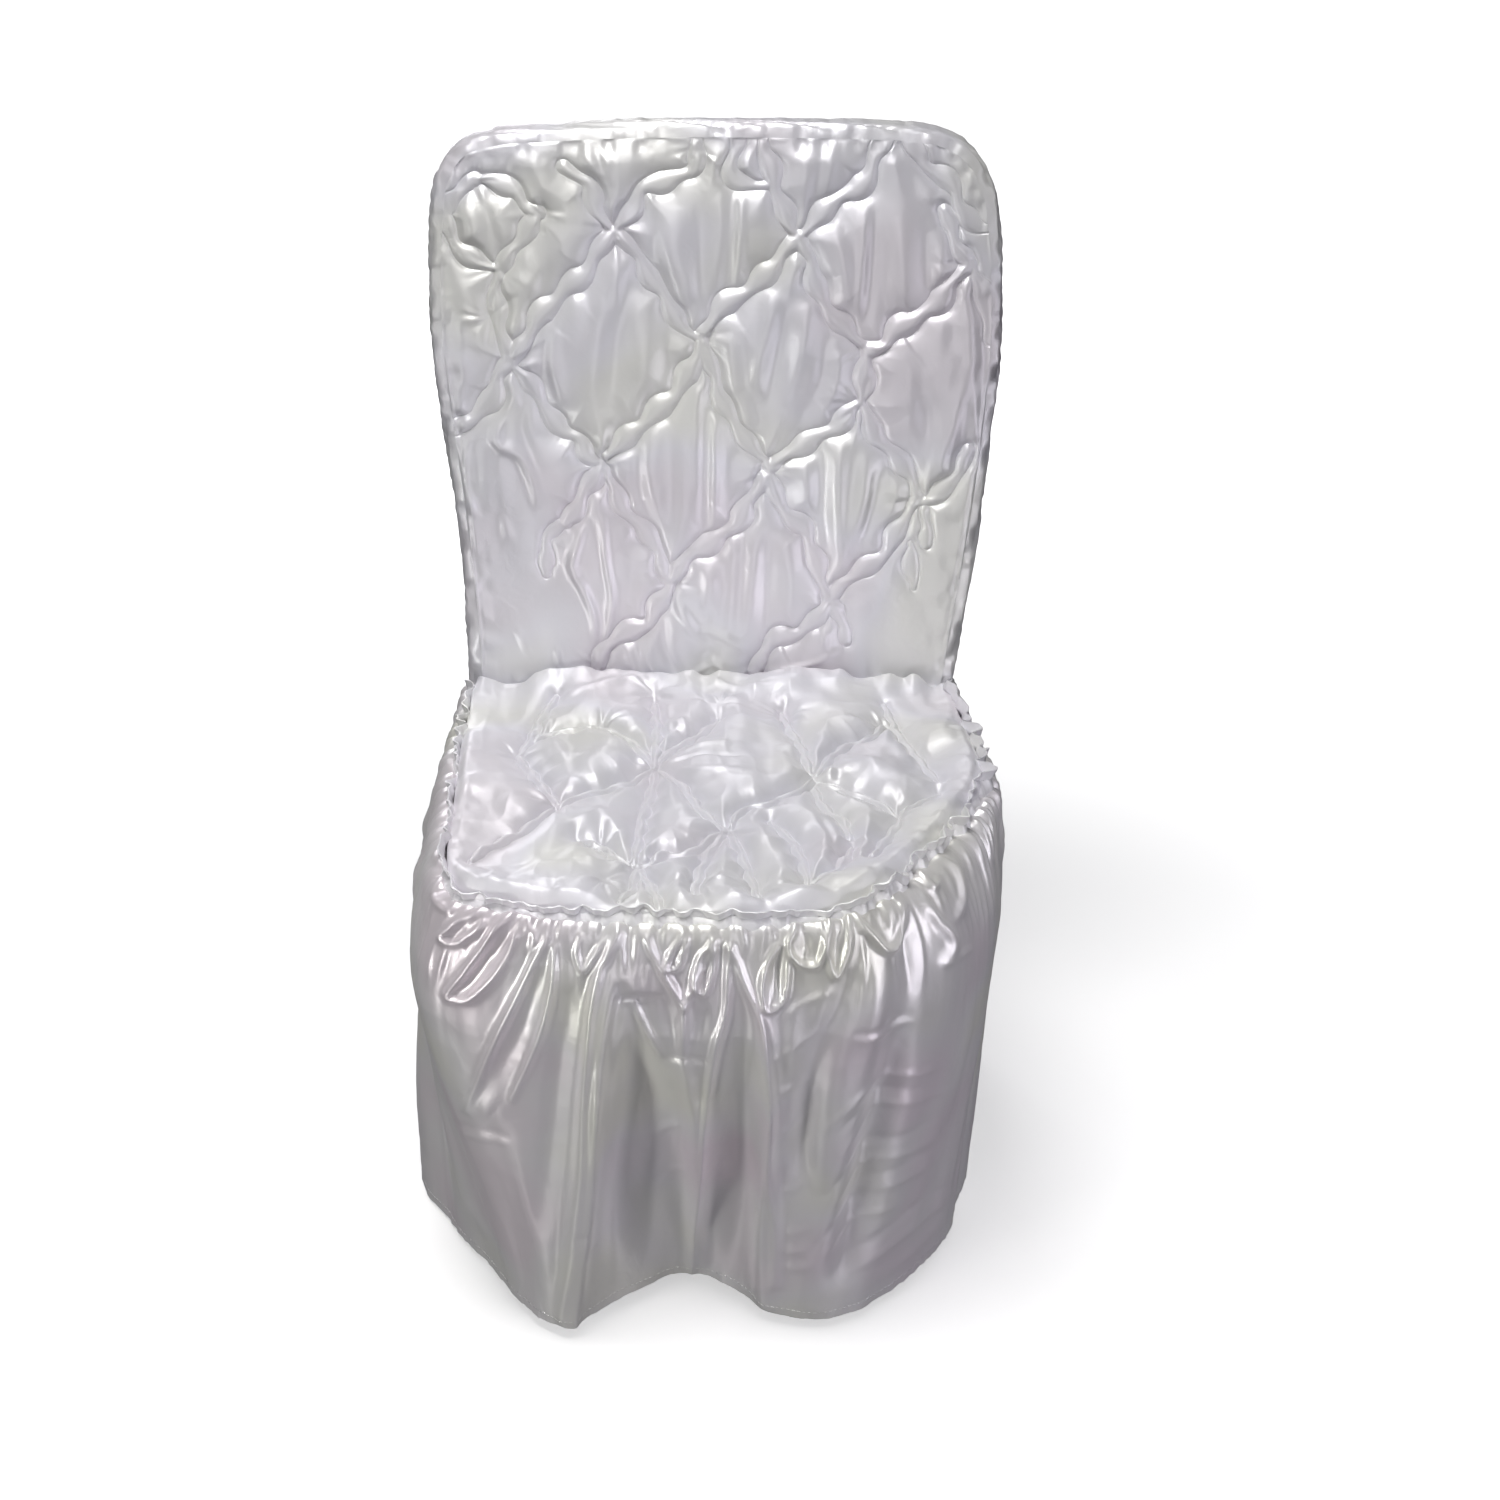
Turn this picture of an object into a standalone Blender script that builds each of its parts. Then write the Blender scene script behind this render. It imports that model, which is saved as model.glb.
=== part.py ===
# Chair cover of white satin, hung as it is on an armless chair.
# A smocked panel and a plain rear panel make the pocket for the back, with a band between them.
# A smocked seat panel is edged by a gathered heading, and a full-length skirt hangs from its seam.
# Metres, +Z up. The front faces -Y, and the hem hangs just above z = 0.
import math

import bpy
import numpy as np
from mathutils import Vector
from mathutils.geometry import delaunay_2d_cdt

# Driving sizes
SEAT_Z = 0.412
SEAT_BACK_Y = 0.170
BACK_TOP_Z = 0.8815
BACK_TOP_Y = 0.2295
HIP_Z = 0.322
FOOTPRINT_SHIFT = (0.0040, -0.0205, 0.0)

# Cloth and seams
PLAIN_CLOTH = 0.0020
QUILTED_CLOTH = 0.0024
BAND_CLOTH = 0.0016
SEAM_GAP = 0.0003
POCKET_FOOT_Z = SEAT_Z - 0.0008
SEAT_REAR_SETBACK = 0.0011
SKIRT_TOP_Z = SEAT_Z - 0.0015
SEED = 7

# Silhouette of the back seen from the front, from the left foot over the top to the right foot
BACK_OUTLINE = (  # x, z
    (-0.2030, POCKET_FOOT_Z),
    (-0.2035, 0.457),
    (-0.2065, 0.510),
    (-0.2115, 0.580),
    (-0.2185, 0.647),
    (-0.2235, 0.705),
    (-0.2235, 0.762),
    (-0.2195, 0.812),
    (-0.2130, 0.8430),
    (-0.1975, 0.8650),
    (-0.1690, 0.8745),
    (-0.1250, 0.8780),
    (-0.0700, 0.8805),
    (-0.0050, BACK_TOP_Z),
    (0.0600, 0.8810),
    (0.1200, 0.8800),
    (0.1640, 0.8780),
    (0.1950, 0.8720),
    (0.2180, 0.8560),
    (0.2310, 0.8320),
    (0.2370, 0.8020),
    (0.2410, 0.7650),
    (0.2430, 0.7150),
    (0.2415, 0.6640),
    (0.2385, 0.6220),
    (0.2340, 0.5750),
    (0.2275, 0.5200),
    (0.2205, 0.4680),
    (0.2140, POCKET_FOOT_Z),
)
BACK_STATIONS = 84
FOOT_STATIONS = 22

# Rear of the pocket and of the skirt, seen from the side
REAR_FALL = (  # z, y
    (0.000, 0.2400),
    (0.110, 0.2345),
    (0.230, 0.2270),
    (0.335, 0.2225),
    (0.411, 0.2235),
    (0.500, 0.2300),
    (0.650, 0.2445),
    (0.780, 0.2570),
    (0.900, 0.2690),
)
REAR_HEM_HALF = 0.2365
REAR_FOLDS = (  # x, width, height at the hem, where it starts
    (-0.165, 0.026, 0.008, 0.42),
    (-0.085, 0.022, -0.006, 0.38),
    (-0.010, 0.030, 0.009, 0.46),
    (0.080, 0.024, 0.007, 0.36),
    (0.160, 0.022, -0.006, 0.44),
)
REAR_SPACING = 0.036
REAR_SIDE_FADE = 0.04
REAR_SAG = 0.0015
REAR_SAG_REACH = 0.08
REAR_FOLD_GROWTH = 0.8

# Section of the band: how far it stands out from the front seam, and its place between both seams
BAND_SECTION = (  # out, share of the depth
    (0.0000, 0.00),
    (0.0048, 0.03),
    (0.0086, 0.20),
    (0.0092, 0.50),
    (0.0084, 0.84),
    (0.0042, 1.00),
)
BAND_OUT = 0.0092
REAR_SEAM_OUT = 0.0042

# Crossings of the smocking on the back, lettered by row from the top and numbered from the left
BACK_KNOTS = {  # x, z
    "a1": (-0.173, 0.841),
    "a2": (-0.115, 0.862),
    "a3": (-0.006, 0.864),
    "a4": (0.024, 0.841),
    "a5": (0.148, 0.861),
    "b1": (-0.207, 0.813),
    "b2": (-0.139, 0.815),
    "b3": (-0.072, 0.797),
    "b4": (0.074, 0.794),
    "b5": (0.200, 0.822),
    "b6": (0.212, 0.771),
    "c1": (-0.166, 0.765),
    "c2": (-0.161, 0.715),
    "c3": (-0.002, 0.716),
    "c4": (0.134, 0.705),
    "c5": (0.130, 0.660),
    "c6": (0.226, 0.710),
    "d1": (-0.203, 0.641),
    "d2": (-0.085, 0.611),
    "d3": (0.050, 0.603),
    "d4": (0.184, 0.582),
    "d5": (0.219, 0.617),
    "e1": (-0.134, 0.548),
    "e2": (-0.032, 0.507),
    "e3": (0.107, 0.487),
    "e4": (0.184, 0.500),
    "f1": (-0.092, 0.431),
    "f2": (0.039, 0.424),
    "f3": (0.120, 0.457),
}
BACK_LINKS = (  # from, to, sideways bow, height
    ("a1", "b1", 0.004, 0.0030),
    ("a1", "b2", 0.004, 0.0028),
    ("b1", "c1", 0.006, 0.0028),
    ("b2", "c1", 0.000, 0.0030),
    ("c1", "c2", 0.000, 0.0032),
    ("a2", "b3", 0.003, 0.0030),
    ("b3", "a3", 0.006, 0.0030),
    ("a3", "a4", 0.000, 0.0024),
    ("a4", "b4", -0.005, 0.0032),
    ("b4", "a5", 0.000, 0.0042),
    ("a5", "b5", 0.005, 0.0036),
    ("b5", "b6", 0.004, 0.0036),
    ("c2", "b3", 0.003, 0.0046),
    ("b3", "c3", -0.004, 0.0034),
    ("c3", "b4", 0.003, 0.0044),
    ("b4", "c4", 0.004, 0.0036),
    ("c4", "b6", -0.004, 0.0046),
    ("b6", "c6", 0.003, 0.0028),
    ("c4", "c5", 0.000, 0.0036),
    ("d1", "c2", -0.003, 0.0044),
    ("c2", "d2", -0.003, 0.0036),
    ("d2", "c3", 0.003, 0.0046),
    ("c3", "d3", 0.003, 0.0036),
    ("d3", "c5", -0.003, 0.0040),
    ("c5", "d4", 0.004, 0.0036),
    ("d4", "d5", 0.000, 0.0030),
    ("e1", "d2", 0.004, 0.0038),
    ("d2", "e2", 0.003, 0.0038),
    ("e2", "d3", 0.003, 0.0044),
    ("d3", "e3", 0.005, 0.0040),
    ("e3", "d4", -0.004, 0.0034),
    ("d4", "e4", 0.000, 0.0024),
    ("f1", "e2", 0.004, 0.0040),
    ("e2", "f2", 0.003, 0.0034),
    ("f2", "e3", 0.003, 0.0044),
    ("e3", "f3", 0.000, 0.0028),
)
BACK_FOLDS = (  # x1, z1, x2, z2, half width, height
    (0.021, 0.838, 0.021, 0.750, 0.006, -0.0040),
    (0.000, 0.680, 0.001, 0.535, 0.006, -0.0035),
    (0.126, 0.815, 0.128, 0.725, 0.006, 0.0030),
    (-0.099, 0.585, -0.091, 0.445, 0.009, 0.0045),
    (-0.168, 0.664, -0.142, 0.580, 0.009, 0.0040),
    (-0.053, 0.769, -0.066, 0.664, 0.011, -0.0030),
    (-0.085, 0.765, -0.099, 0.664, 0.009, 0.0030),
    (0.033, 0.705, 0.046, 0.635, 0.008, 0.0028),
    (0.069, 0.737, 0.058, 0.647, 0.009, -0.0035),
    (0.161, 0.801, 0.159, 0.729, 0.010, -0.0025),
    (0.187, 0.753, 0.178, 0.647, 0.011, 0.0030),
    (-0.046, 0.580, -0.042, 0.528, 0.009, -0.0025),
    (0.046, 0.562, 0.051, 0.475, 0.010, 0.0030),
    (0.116, 0.630, 0.121, 0.528, 0.008, 0.0040),
)
BACK_PLAIN = (  # x, z, radius of the smooth patches in the lower corners
    (-0.168, 0.495, 0.062),
    (-0.170, 0.425, 0.060),
    (0.186, 0.445, 0.062),
)

# Crossings on the seat, lettered by row from the back and numbered from the left
SEAT_KNOTS = {  # x, y
    "a1": (-0.135, 0.131),
    "a2": (-0.132, 0.084),
    "a3": (-0.087, 0.096),
    "a4": (0.017, 0.118),
    "a5": (0.066, 0.104),
    "a6": (0.148, 0.091),
    "a7": (0.153, 0.138),
    "b1": (-0.184, 0.024),
    "b2": (-0.154, 0.039),
    "b3": (-0.041, 0.021),
    "b4": (0.086, 0.001),
    "b5": (0.184, 0.004),
    "c1": (-0.115, -0.044),
    "c2": (0.017, -0.085),
    "c3": (0.150, -0.053),
    "d1": (-0.176, -0.122),
    "d2": (-0.053, -0.129),
    "d3": (0.075, -0.158),
    "d4": (0.116, -0.142),
    "e1": (-0.086, -0.178),
    "e2": (-0.030, -0.184),
    "e3": (0.036, -0.182),
}
SEAT_LINKS = (  # from, to, sideways bow, height
    ("a1", "b2", 0.003, 0.0030),
    ("b1", "b2", 0.000, 0.0026),
    ("a2", "a3", 0.006, 0.0030),
    ("a3", "b3", 0.005, 0.0034),
    ("b2", "c1", 0.004, 0.0034),
    ("c1", "b3", -0.004, 0.0040),
    ("b3", "a4", 0.004, 0.0036),
    ("b3", "c2", 0.003, 0.0034),
    ("b3", "d2", 0.000, 0.0030),
    ("c1", "d1", -0.004, 0.0040),
    ("c1", "d2", 0.003, 0.0032),
    ("d2", "c2", -0.004, 0.0038),
    ("c2", "b4", -0.004, 0.0038),
    ("b4", "a5", 0.003, 0.0032),
    ("b4", "a6", -0.003, 0.0036),
    ("a6", "a7", 0.000, 0.0028),
    ("a6", "b5", 0.004, 0.0034),
    ("b4", "c3", 0.004, 0.0036),
    ("c3", "b5", 0.000, 0.0030),
    ("b4", "d3", 0.004, 0.0028),
    ("c3", "d4", -0.003, 0.0034),
    ("c2", "d3", 0.003, 0.0032),
    ("d3", "d4", 0.000, 0.0030),
    ("c2", "e3", 0.002, 0.0030),
    ("d2", "e1", 0.002, 0.0030),
    ("d2", "e2", 0.002, 0.0030),
)
SEAT_FOLDS = (  # x1, y1, x2, y2, half width, height
    (-0.040, 0.140, -0.040, 0.070, 0.006, 0.0030),
    (-0.100, 0.060, -0.085, -0.010, 0.010, -0.0030),
    (0.020, 0.060, 0.035, 0.010, 0.012, 0.0026),
    (0.110, 0.060, 0.140, 0.020, 0.010, -0.0026),
    (-0.010, -0.030, 0.000, -0.060, 0.008, 0.0026),
    (0.080, -0.050, 0.090, -0.110, 0.009, 0.0028),
)
SEAT_PLAIN = (  # x, y, radius of the smooth rear corners
    (-0.178, 0.110, 0.042),
    (0.186, 0.110, 0.034),
)
SEAT_CROWN = 0.005
SEAT_CROWN_REACH = 0.12
SEAT_REAR_STATIONS = 18

# Shape of the smocking
BACK_PUFF = 0.0085
SEAT_PUFF = 0.0065
PUFF_REACH = 0.021
CHANNEL_HALF = 0.0062
CHANNEL_WAVE = 0.0016
CHANNEL_SWELLS = 2.5
CHANNEL_SWELL_DEPTH = 0.20
CHANNEL_CORE = 0.7
CHANNEL_PIECES = 13
KNOT_REACH = 0.006
KNOT_DIP = 0.7
FOLD_ENDS = 0.08
FOLD_FULLNESS = 0.7
BORDER_FADE = 0.013
CHANNEL_STEP = 0.0125
CHANNEL_CLEAR = 0.45
PUFF_SPACING = 0.021
PUFF_CLEAR = 0.62
REAR_CLEAR = 0.5
ROW_PITCH = 0.87
WELD = 1e-7
SHARP_ANGLE = math.radians(60)

# Run of the skirt from the left rear corner round the front to the right rear corner:
# its seam, its widest line just below, and its hem, with the height of the hem
SKIRT_RUN = (  # seam x, seam y, hip x, hip y, hem x, hem y, hem z
    (-0.2000, 0.2235, -0.209, 0.2225, -0.238, 0.240, 0.000),
    (-0.2000, 0.1700, -0.217, 0.168, -0.247, 0.160, 0.000),
    (-0.1990, 0.1130, -0.224, 0.108, -0.250, 0.085, 0.000),
    (-0.2000, 0.0510, -0.229, 0.046, -0.250, 0.015, 0.000),
    (-0.1980, -0.0100, -0.230, -0.012, -0.231, -0.032, 0.002),
    (-0.1960, -0.0700, -0.230, -0.068, -0.208, -0.068, 0.004),
    (-0.1940, -0.1250, -0.227, -0.126, -0.182, -0.108, 0.006),
    (-0.1820, -0.1700, -0.213, -0.178, -0.157, -0.150, 0.008),
    (-0.1490, -0.1870, -0.171, -0.205, -0.138, -0.176, 0.010),
    (-0.1120, -0.1960, -0.124, -0.215, -0.112, -0.183, 0.011),
    (-0.0760, -0.2000, -0.081, -0.219, -0.080, -0.165, 0.012),
    (-0.0350, -0.2025, -0.037, -0.221, -0.046, -0.138, 0.012),
    (0.0080, -0.2045, 0.008, -0.222, -0.011, -0.121, 0.012),
    (0.0500, -0.2040, 0.053, -0.221, 0.025, -0.144, 0.012),
    (0.0900, -0.1980, 0.098, -0.217, 0.066, -0.173, 0.010),
    (0.1180, -0.1810, 0.139, -0.203, 0.108, -0.173, 0.008),
    (0.1460, -0.1500, 0.178, -0.172, 0.149, -0.143, 0.006),
    (0.1780, -0.1000, 0.212, -0.122, 0.184, -0.104, 0.004),
    (0.2060, -0.0500, 0.234, -0.066, 0.211, -0.062, 0.002),
    (0.2220, -0.0050, 0.243, -0.010, 0.226, -0.013, 0.000),
    (0.2200, 0.0450, 0.242, 0.044, 0.236, 0.042, 0.000),
    (0.2140, 0.1050, 0.233, 0.104, 0.240, 0.104, 0.000),
    (0.2120, 0.1700, 0.224, 0.168, 0.240, 0.170, 0.000),
    (0.2100, 0.2235, 0.218, 0.2225, 0.236, 0.240, 0.000),
)
SHOULDER_DROP = 0.22
HEM_SWEEP = 0.45
DROP_PER_RUN = 0.12
FOLD_ONSET = 2.5
REAR_CALM = 0.3
UPRIGHT_LEAST = 1e-3
SEAM_FIRST = 1
SEAM_LAST = len(SKIRT_RUN) - 2
SEAM_STATIONS = 106
CORNER_STATIONS = 3
SKIRT_LEVELS = (  # share of the shoulder, share of the fall below it
    (0.00, 0.00),
    (0.28, 0.00),
    (0.56, 0.00),
    (0.82, 0.00),
    (1.00, 0.08),
    (1.00, 0.24),
    (1.00, 0.42),
    (1.00, 0.61),
    (1.00, 0.81),
    (1.00, 1.00),
)
# Gathers fade out down these same levels
GATHER_SHARE = (0.00, 0.75, 1.00, 0.70, 0.32, 0.10, 0.00, 0.00, 0.00, 0.08)
GATHER_HEIGHT = 0.0032
GATHER_SPREAD = 0.0012
SKIRT_FOLDS = (  # run at the top, drop at the top, run at the hem, drop at the hem, half width, height
    (2.7, 0.38, 3.0, 0.90, 1.10, 0.0090),
    (4.4, 0.30, 4.2, 1.00, 0.45, -0.0035),
    (5.6, 0.42, 5.2, 0.98, 0.45, 0.0055),
    (7.9, 0.12, 6.4, 0.58, 0.24, 0.0085),
    (8.6, 0.18, 7.3, 0.60, 0.22, 0.0080),
    (6.4, 0.62, 7.6, 0.70, 0.20, -0.0050),
    (8.0, 0.60, 7.6, 1.00, 0.55, -0.0060),
    (10.4, 0.10, 9.1, 1.00, 0.34, 0.0110),
    (11.1, 0.22, 10.3, 0.95, 0.42, -0.0080),
    (11.0, 0.26, 11.9, 0.42, 0.22, 0.0050),
    (12.4, 0.24, 11.9, 0.44, 0.20, 0.0050),
    (11.9, 0.42, 12.0, 1.00, 0.26, 0.0075),
    (12.6, 0.40, 12.9, 0.95, 0.40, -0.0050),
    (12.7, 0.10, 13.6, 0.98, 0.30, 0.0100),
    (14.1, 0.20, 14.5, 0.95, 0.40, 0.0040),
    (15.2, 0.16, 15.0, 0.86, 0.42, -0.0090),
    (15.9, 0.66, 18.6, 0.34, 0.26, 0.0050),
    (16.2, 0.86, 19.0, 0.56, 0.26, 0.0045),
    (17.0, 0.20, 16.8, 0.60, 0.34, 0.0050),
    (18.5, 0.20, 18.8, 1.00, 0.42, -0.0050),
    (20.2, 0.18, 20.0, 1.00, 0.55, 0.0050),
)

# Gathered heading along the seat seam
FRILL_HALF = 0.0010
FRILL_SECTION = (  # height above the seat, lean outwards, share of the wave
    (-0.0034, 0.0000, 0.00),
    (0.0014, 0.0000, 0.00),
    (0.0075, 0.0012, 0.85),
    (0.0135, 0.0034, 1.00),
)
FRILL_WAVE = 0.0030
FRILL_RAGGED = 0.0022
FRILL_UNEVEN = 0.4
FRILL_END_STATIONS = 1

# Cloth finishes
FINISHES = {  # colour, roughness
    "smocked_satin": ((0.80, 0.80, 0.83), 0.32),
    "plain_satin": ((0.74, 0.73, 0.76), 0.30),
    "heading_satin": ((0.78, 0.77, 0.81), 0.34),
}
SHEEN = 0.3


def clear_scene():
    for thing in list(bpy.data.objects):
        bpy.data.objects.remove(thing, do_unlink=True)


def satin(name):
    # Lustrous woven satin
    colour, roughness = FINISHES[name]
    made = bpy.data.materials.new(name)
    made.use_nodes = True
    shader = made.node_tree.nodes["Principled BSDF"]
    shader.inputs["Base Color"].default_value = (*colour, 1.0)
    shader.inputs["Roughness"].default_value = roughness
    shader.inputs["Sheen Weight"].default_value = SHEEN
    made.diffuse_color = (*colour, 1.0)
    return made


def smooth_curve(knots, rows, at):
    # Smooth curve through the rows, read where its knots have the given values
    rows = np.asarray(rows, float)
    at = np.asarray(at, float)
    slopes = np.gradient(rows, knots, axis=0)
    first = np.clip(np.searchsorted(knots, at, side="right") - 1, 0, len(knots) - 2)
    span = (knots[first + 1] - knots[first])[:, None]
    u = (at - knots[first])[:, None] / span
    start, end = rows[first], rows[first + 1]
    leave, arrive = slopes[first] * span, slopes[first + 1] * span
    swing = u * u * (3 - 2 * u)
    return (
        start * (1 - swing)
        + end * swing
        + leave * u * (1 - u) ** 2
        - arrive * u * u * (1 - u)
    )


def run_lengths(line):
    steps = np.linalg.norm(np.diff(line, axis=0), axis=1)
    return np.concatenate([[0.0], np.cumsum(steps)])


def even_knots(knots, rows, low, high, count):
    # Knot values that divide the curve between two of them into equal lengths
    fine = np.linspace(low, high, 40 * len(knots))
    run = run_lengths(smooth_curve(knots, rows, fine))
    return np.interp(np.linspace(0.0, run[-1], count), run, fine)


def sideways(line, turn):
    # Unit normals of a flat line, on the side that turn picks
    ahead = np.gradient(line, axis=0)
    ahead /= np.linalg.norm(ahead, axis=1)[:, None]
    return turn * np.stack([-ahead[:, 1], ahead[:, 0]], axis=1)


def off_line(points, line):
    # Distance of each point from a line of short pieces, and its share of the way along it
    nearest = np.full(len(points), np.inf)
    share = np.zeros(len(points))
    run = run_lengths(line)
    for start, end, before, after in zip(line[:-1], line[1:], run[:-1], run[1:]):
        step = end - start
        u = np.clip((points - start) @ step / (step @ step), 0.0, 1.0)
        away = np.linalg.norm(points - start - u[:, None] * step, axis=1)
        closer = away < nearest
        nearest[closer] = away[closer]
        share[closer] = ((before + u * (after - before)) / run[-1])[closer]
    return nearest, share


def bell(distance, width):
    return np.exp(-((distance / width) ** 2))


def channel_line(start, end, bow):
    # Wavy centre line of a stitched channel between two crossings
    start, end = np.array(start), np.array(end)
    u = np.linspace(0.0, 1.0, CHANNEL_PIECES)[:, None]
    step = end - start
    side = np.array([-step[1], step[0]]) / np.linalg.norm(step)
    swing = bow * np.sin(math.pi * u)
    wave = CHANNEL_WAVE * np.sin(2 * math.pi * CHANNEL_SWELLS * u)
    return start + step * u + side * (swing + wave)


def soft_fold(points, row):
    # A trough or ridge along a straight run, dying out at both ends
    x1, z1, x2, z2, width, height = row
    away, share = off_line(points, np.array([(x1, z1), (x2, z2)]))
    ends = FOLD_ENDS + (1 - 2 * FOLD_ENDS) * share
    return height * bell(away, width) * np.sin(math.pi * ends) ** FOLD_FULLNESS


def smocked_height(points, knots, links, folds, plain, puff, border):
    # How far the smocked cloth stands out: puffs between the channels, channels, folds
    nearest = np.full(len(points), np.inf)
    channels = np.zeros(len(points))
    for start, end, bow, height in links:
        away, share = off_line(points, channel_line(knots[start], knots[end], bow))
        swell = 1 - CHANNEL_SWELL_DEPTH * (1 - np.cos(4 * math.pi * CHANNEL_SWELLS * share))
        channels = np.maximum(channels, height * swell * bell(away, CHANNEL_CORE * CHANNEL_HALF))
        nearest = np.minimum(nearest, away)
    for place in knots.values():
        away = np.linalg.norm(points - np.array(place), axis=1)
        channels *= 1 - KNOT_DIP * bell(away, KNOT_REACH)
    flat = np.ones(len(points))
    for x, z, radius in plain:
        away = np.linalg.norm(points - np.array((x, z)), axis=1)
        flat *= 1 - bell(away, radius)
    height = puff * flat * (1 - bell(nearest, PUFF_REACH)) + channels
    for row in folds:
        height += soft_fold(points, row)
    away, _ = off_line(points, np.vstack([border, border[:1]]))
    fade = np.clip(away / BORDER_FADE, 0.0, 1.0)
    return height * fade * fade * (3 - 2 * fade)


def spread_out(kept, more, spacing):
    # Adds only the points that keep their distance from those already there
    for point in more:
        if np.min(np.linalg.norm(kept - point, axis=1)) >= spacing:
            kept = np.vstack([kept, point])
    return kept


def inside_outline(points, border):
    # Points inside a closed outline, by how often a line to the right crosses it
    crossings = np.zeros(len(points), int)
    for (x1, z1), (x2, z2) in zip(border, np.roll(border, -1, axis=0)):
        if z1 == z2:
            continue
        between = (points[:, 1] > min(z1, z2)) & (points[:, 1] <= max(z1, z2))
        meets = x1 + (points[:, 1] - z1) * (x2 - x1) / (z2 - z1)
        crossings += between & (meets > points[:, 0])
    return points[crossings % 2 == 1]


def even_points(border, spacing):
    # Points in offset rows over the outline
    low, high = border.min(axis=0), border.max(axis=0)
    rows = []
    for number, across in enumerate(np.arange(low[1] + spacing / 2, high[1], spacing * ROW_PITCH)):
        start = low[0] + spacing * (0.5 if number % 2 else 0.25)
        rows += [(along, across) for along in np.arange(start, high[0], spacing)]
    return inside_outline(np.array(rows), border)


def channel_points(knots, links):
    # Points down the middle and both sides of every channel, so its ridge has true edges
    rows = [np.array(list(knots.values()))]
    for start, end, bow, _ in links:
        line = channel_line(knots[start], knots[end], bow)
        run = run_lengths(line)
        count = max(3, round(run[-1] / CHANNEL_STEP) + 1)
        at = np.interp(np.linspace(0.0, run[-1], count), run, np.arange(len(line)))
        middle = smooth_curve(np.arange(len(line)), line, at)
        side = sideways(middle, 1.0) * CHANNEL_HALF
        rows += [middle[1:-1], (middle + side)[1:-1], (middle - side)[1:-1]]
    return np.vstack(rows)


def smocked_points(border, knots, links):
    inner = inside_outline(channel_points(knots, links), border)
    points = spread_out(border, inner, CHANNEL_CLEAR * CHANNEL_STEP)
    return spread_out(points, even_points(border, PUFF_SPACING), PUFF_CLEAR * PUFF_SPACING)


def mesh_object(name, points, faces, material):
    mesh = bpy.data.meshes.new(name)
    placed = np.asarray(points) + np.array(FOOTPRINT_SHIFT)
    mesh.from_pydata([tuple(p) for p in placed], [], faces)
    mesh.materials.append(material)
    mesh.validate()
    mesh.shade_smooth()
    mesh.set_sharp_from_angle(angle=SHARP_ANGLE)
    made = bpy.data.objects.new(name, mesh)
    bpy.context.scene.collection.objects.link(made)
    return made


def outline_sheet(name, border_count, flat_points, outer, inner, material, faces_back=False):
    # Closed thin sheet over a flat outline, whose two faces are given point by point
    edges = [(i, (i + 1) % border_count) for i in range(border_count)]
    found = delaunay_2d_cdt([Vector(p) for p in flat_points], edges, [], 1, WELD)
    source = [origins[0] for origins in found[3]]
    count = len(flat_points)
    faces = []
    for a, b, c in found[2]:
        a, b, c = source[a], source[b], source[c]
        faces.append((a, b, c))
        faces.append((count + c, count + b, count + a))
    for i, j in edges:
        faces.append((j, i, count + i, count + j))
    if faces_back:
        faces = [tuple(reversed(face)) for face in faces]
    return mesh_object(name, np.vstack([outer, inner]), faces, material)


def grid_sheet(name, outer, inner, material):
    # Closed thin sheet between two grids of points, rows down and columns across
    rows, columns = outer.shape[:2]
    count = rows * columns
    faces = []
    for r in range(rows - 1):
        for c in range(columns - 1):
            a = r * columns + c
            b, d, e = a + 1, a + columns, a + columns + 1
            faces.append((a, d, e, b))
            faces.append((count + a, count + b, count + e, count + d))
    for c in range(columns - 1):
        top, hem = c, (rows - 1) * columns + c
        faces.append((top, top + 1, count + top + 1, count + top))
        faces.append((hem + 1, hem, count + hem, count + hem + 1))
    for r in range(rows - 1):
        left, right = r * columns, (r + 1) * columns - 1
        below_left, below_right = left + columns, right + columns
        faces.append((left, count + left, count + below_left, below_left))
        faces.append((right, below_right, count + below_right, count + right))
    points = np.vstack([outer.reshape(-1, 3), inner.reshape(-1, 3)])
    return mesh_object(name, points, faces, material)


def back_front_y(z):
    # Front face of the back, which leans backwards
    share = (z - SEAT_Z) / (BACK_TOP_Z - SEAT_Z)
    return SEAT_BACK_Y + (BACK_TOP_Y - SEAT_BACK_Y) * share


def rear_y(z):
    rows = np.array(REAR_FALL)
    return smooth_curve(rows[:, 0], rows[:, 1:], z)[:, 0]


def back_stations():
    # Front seam of the pocket, station by station, and the direction out of the panel
    rows = np.array(BACK_OUTLINE)
    knots = run_lengths(rows)
    at = even_knots(knots, rows, knots[0], knots[-1], BACK_STATIONS)
    silhouette = smooth_curve(knots, rows, at)
    out = sideways(silhouette, 1.0)
    out[0] = (-1.0, 0.0)
    out[-1] = (1.0, 0.0)
    return silhouette - BAND_OUT * out, out


def foot_edge(left, right, height, count):
    # Points between two corners along a level edge
    across = np.linspace(left, right, count + 2)[1:-1]
    return np.stack([across, np.full(count, height)], axis=1)


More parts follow.
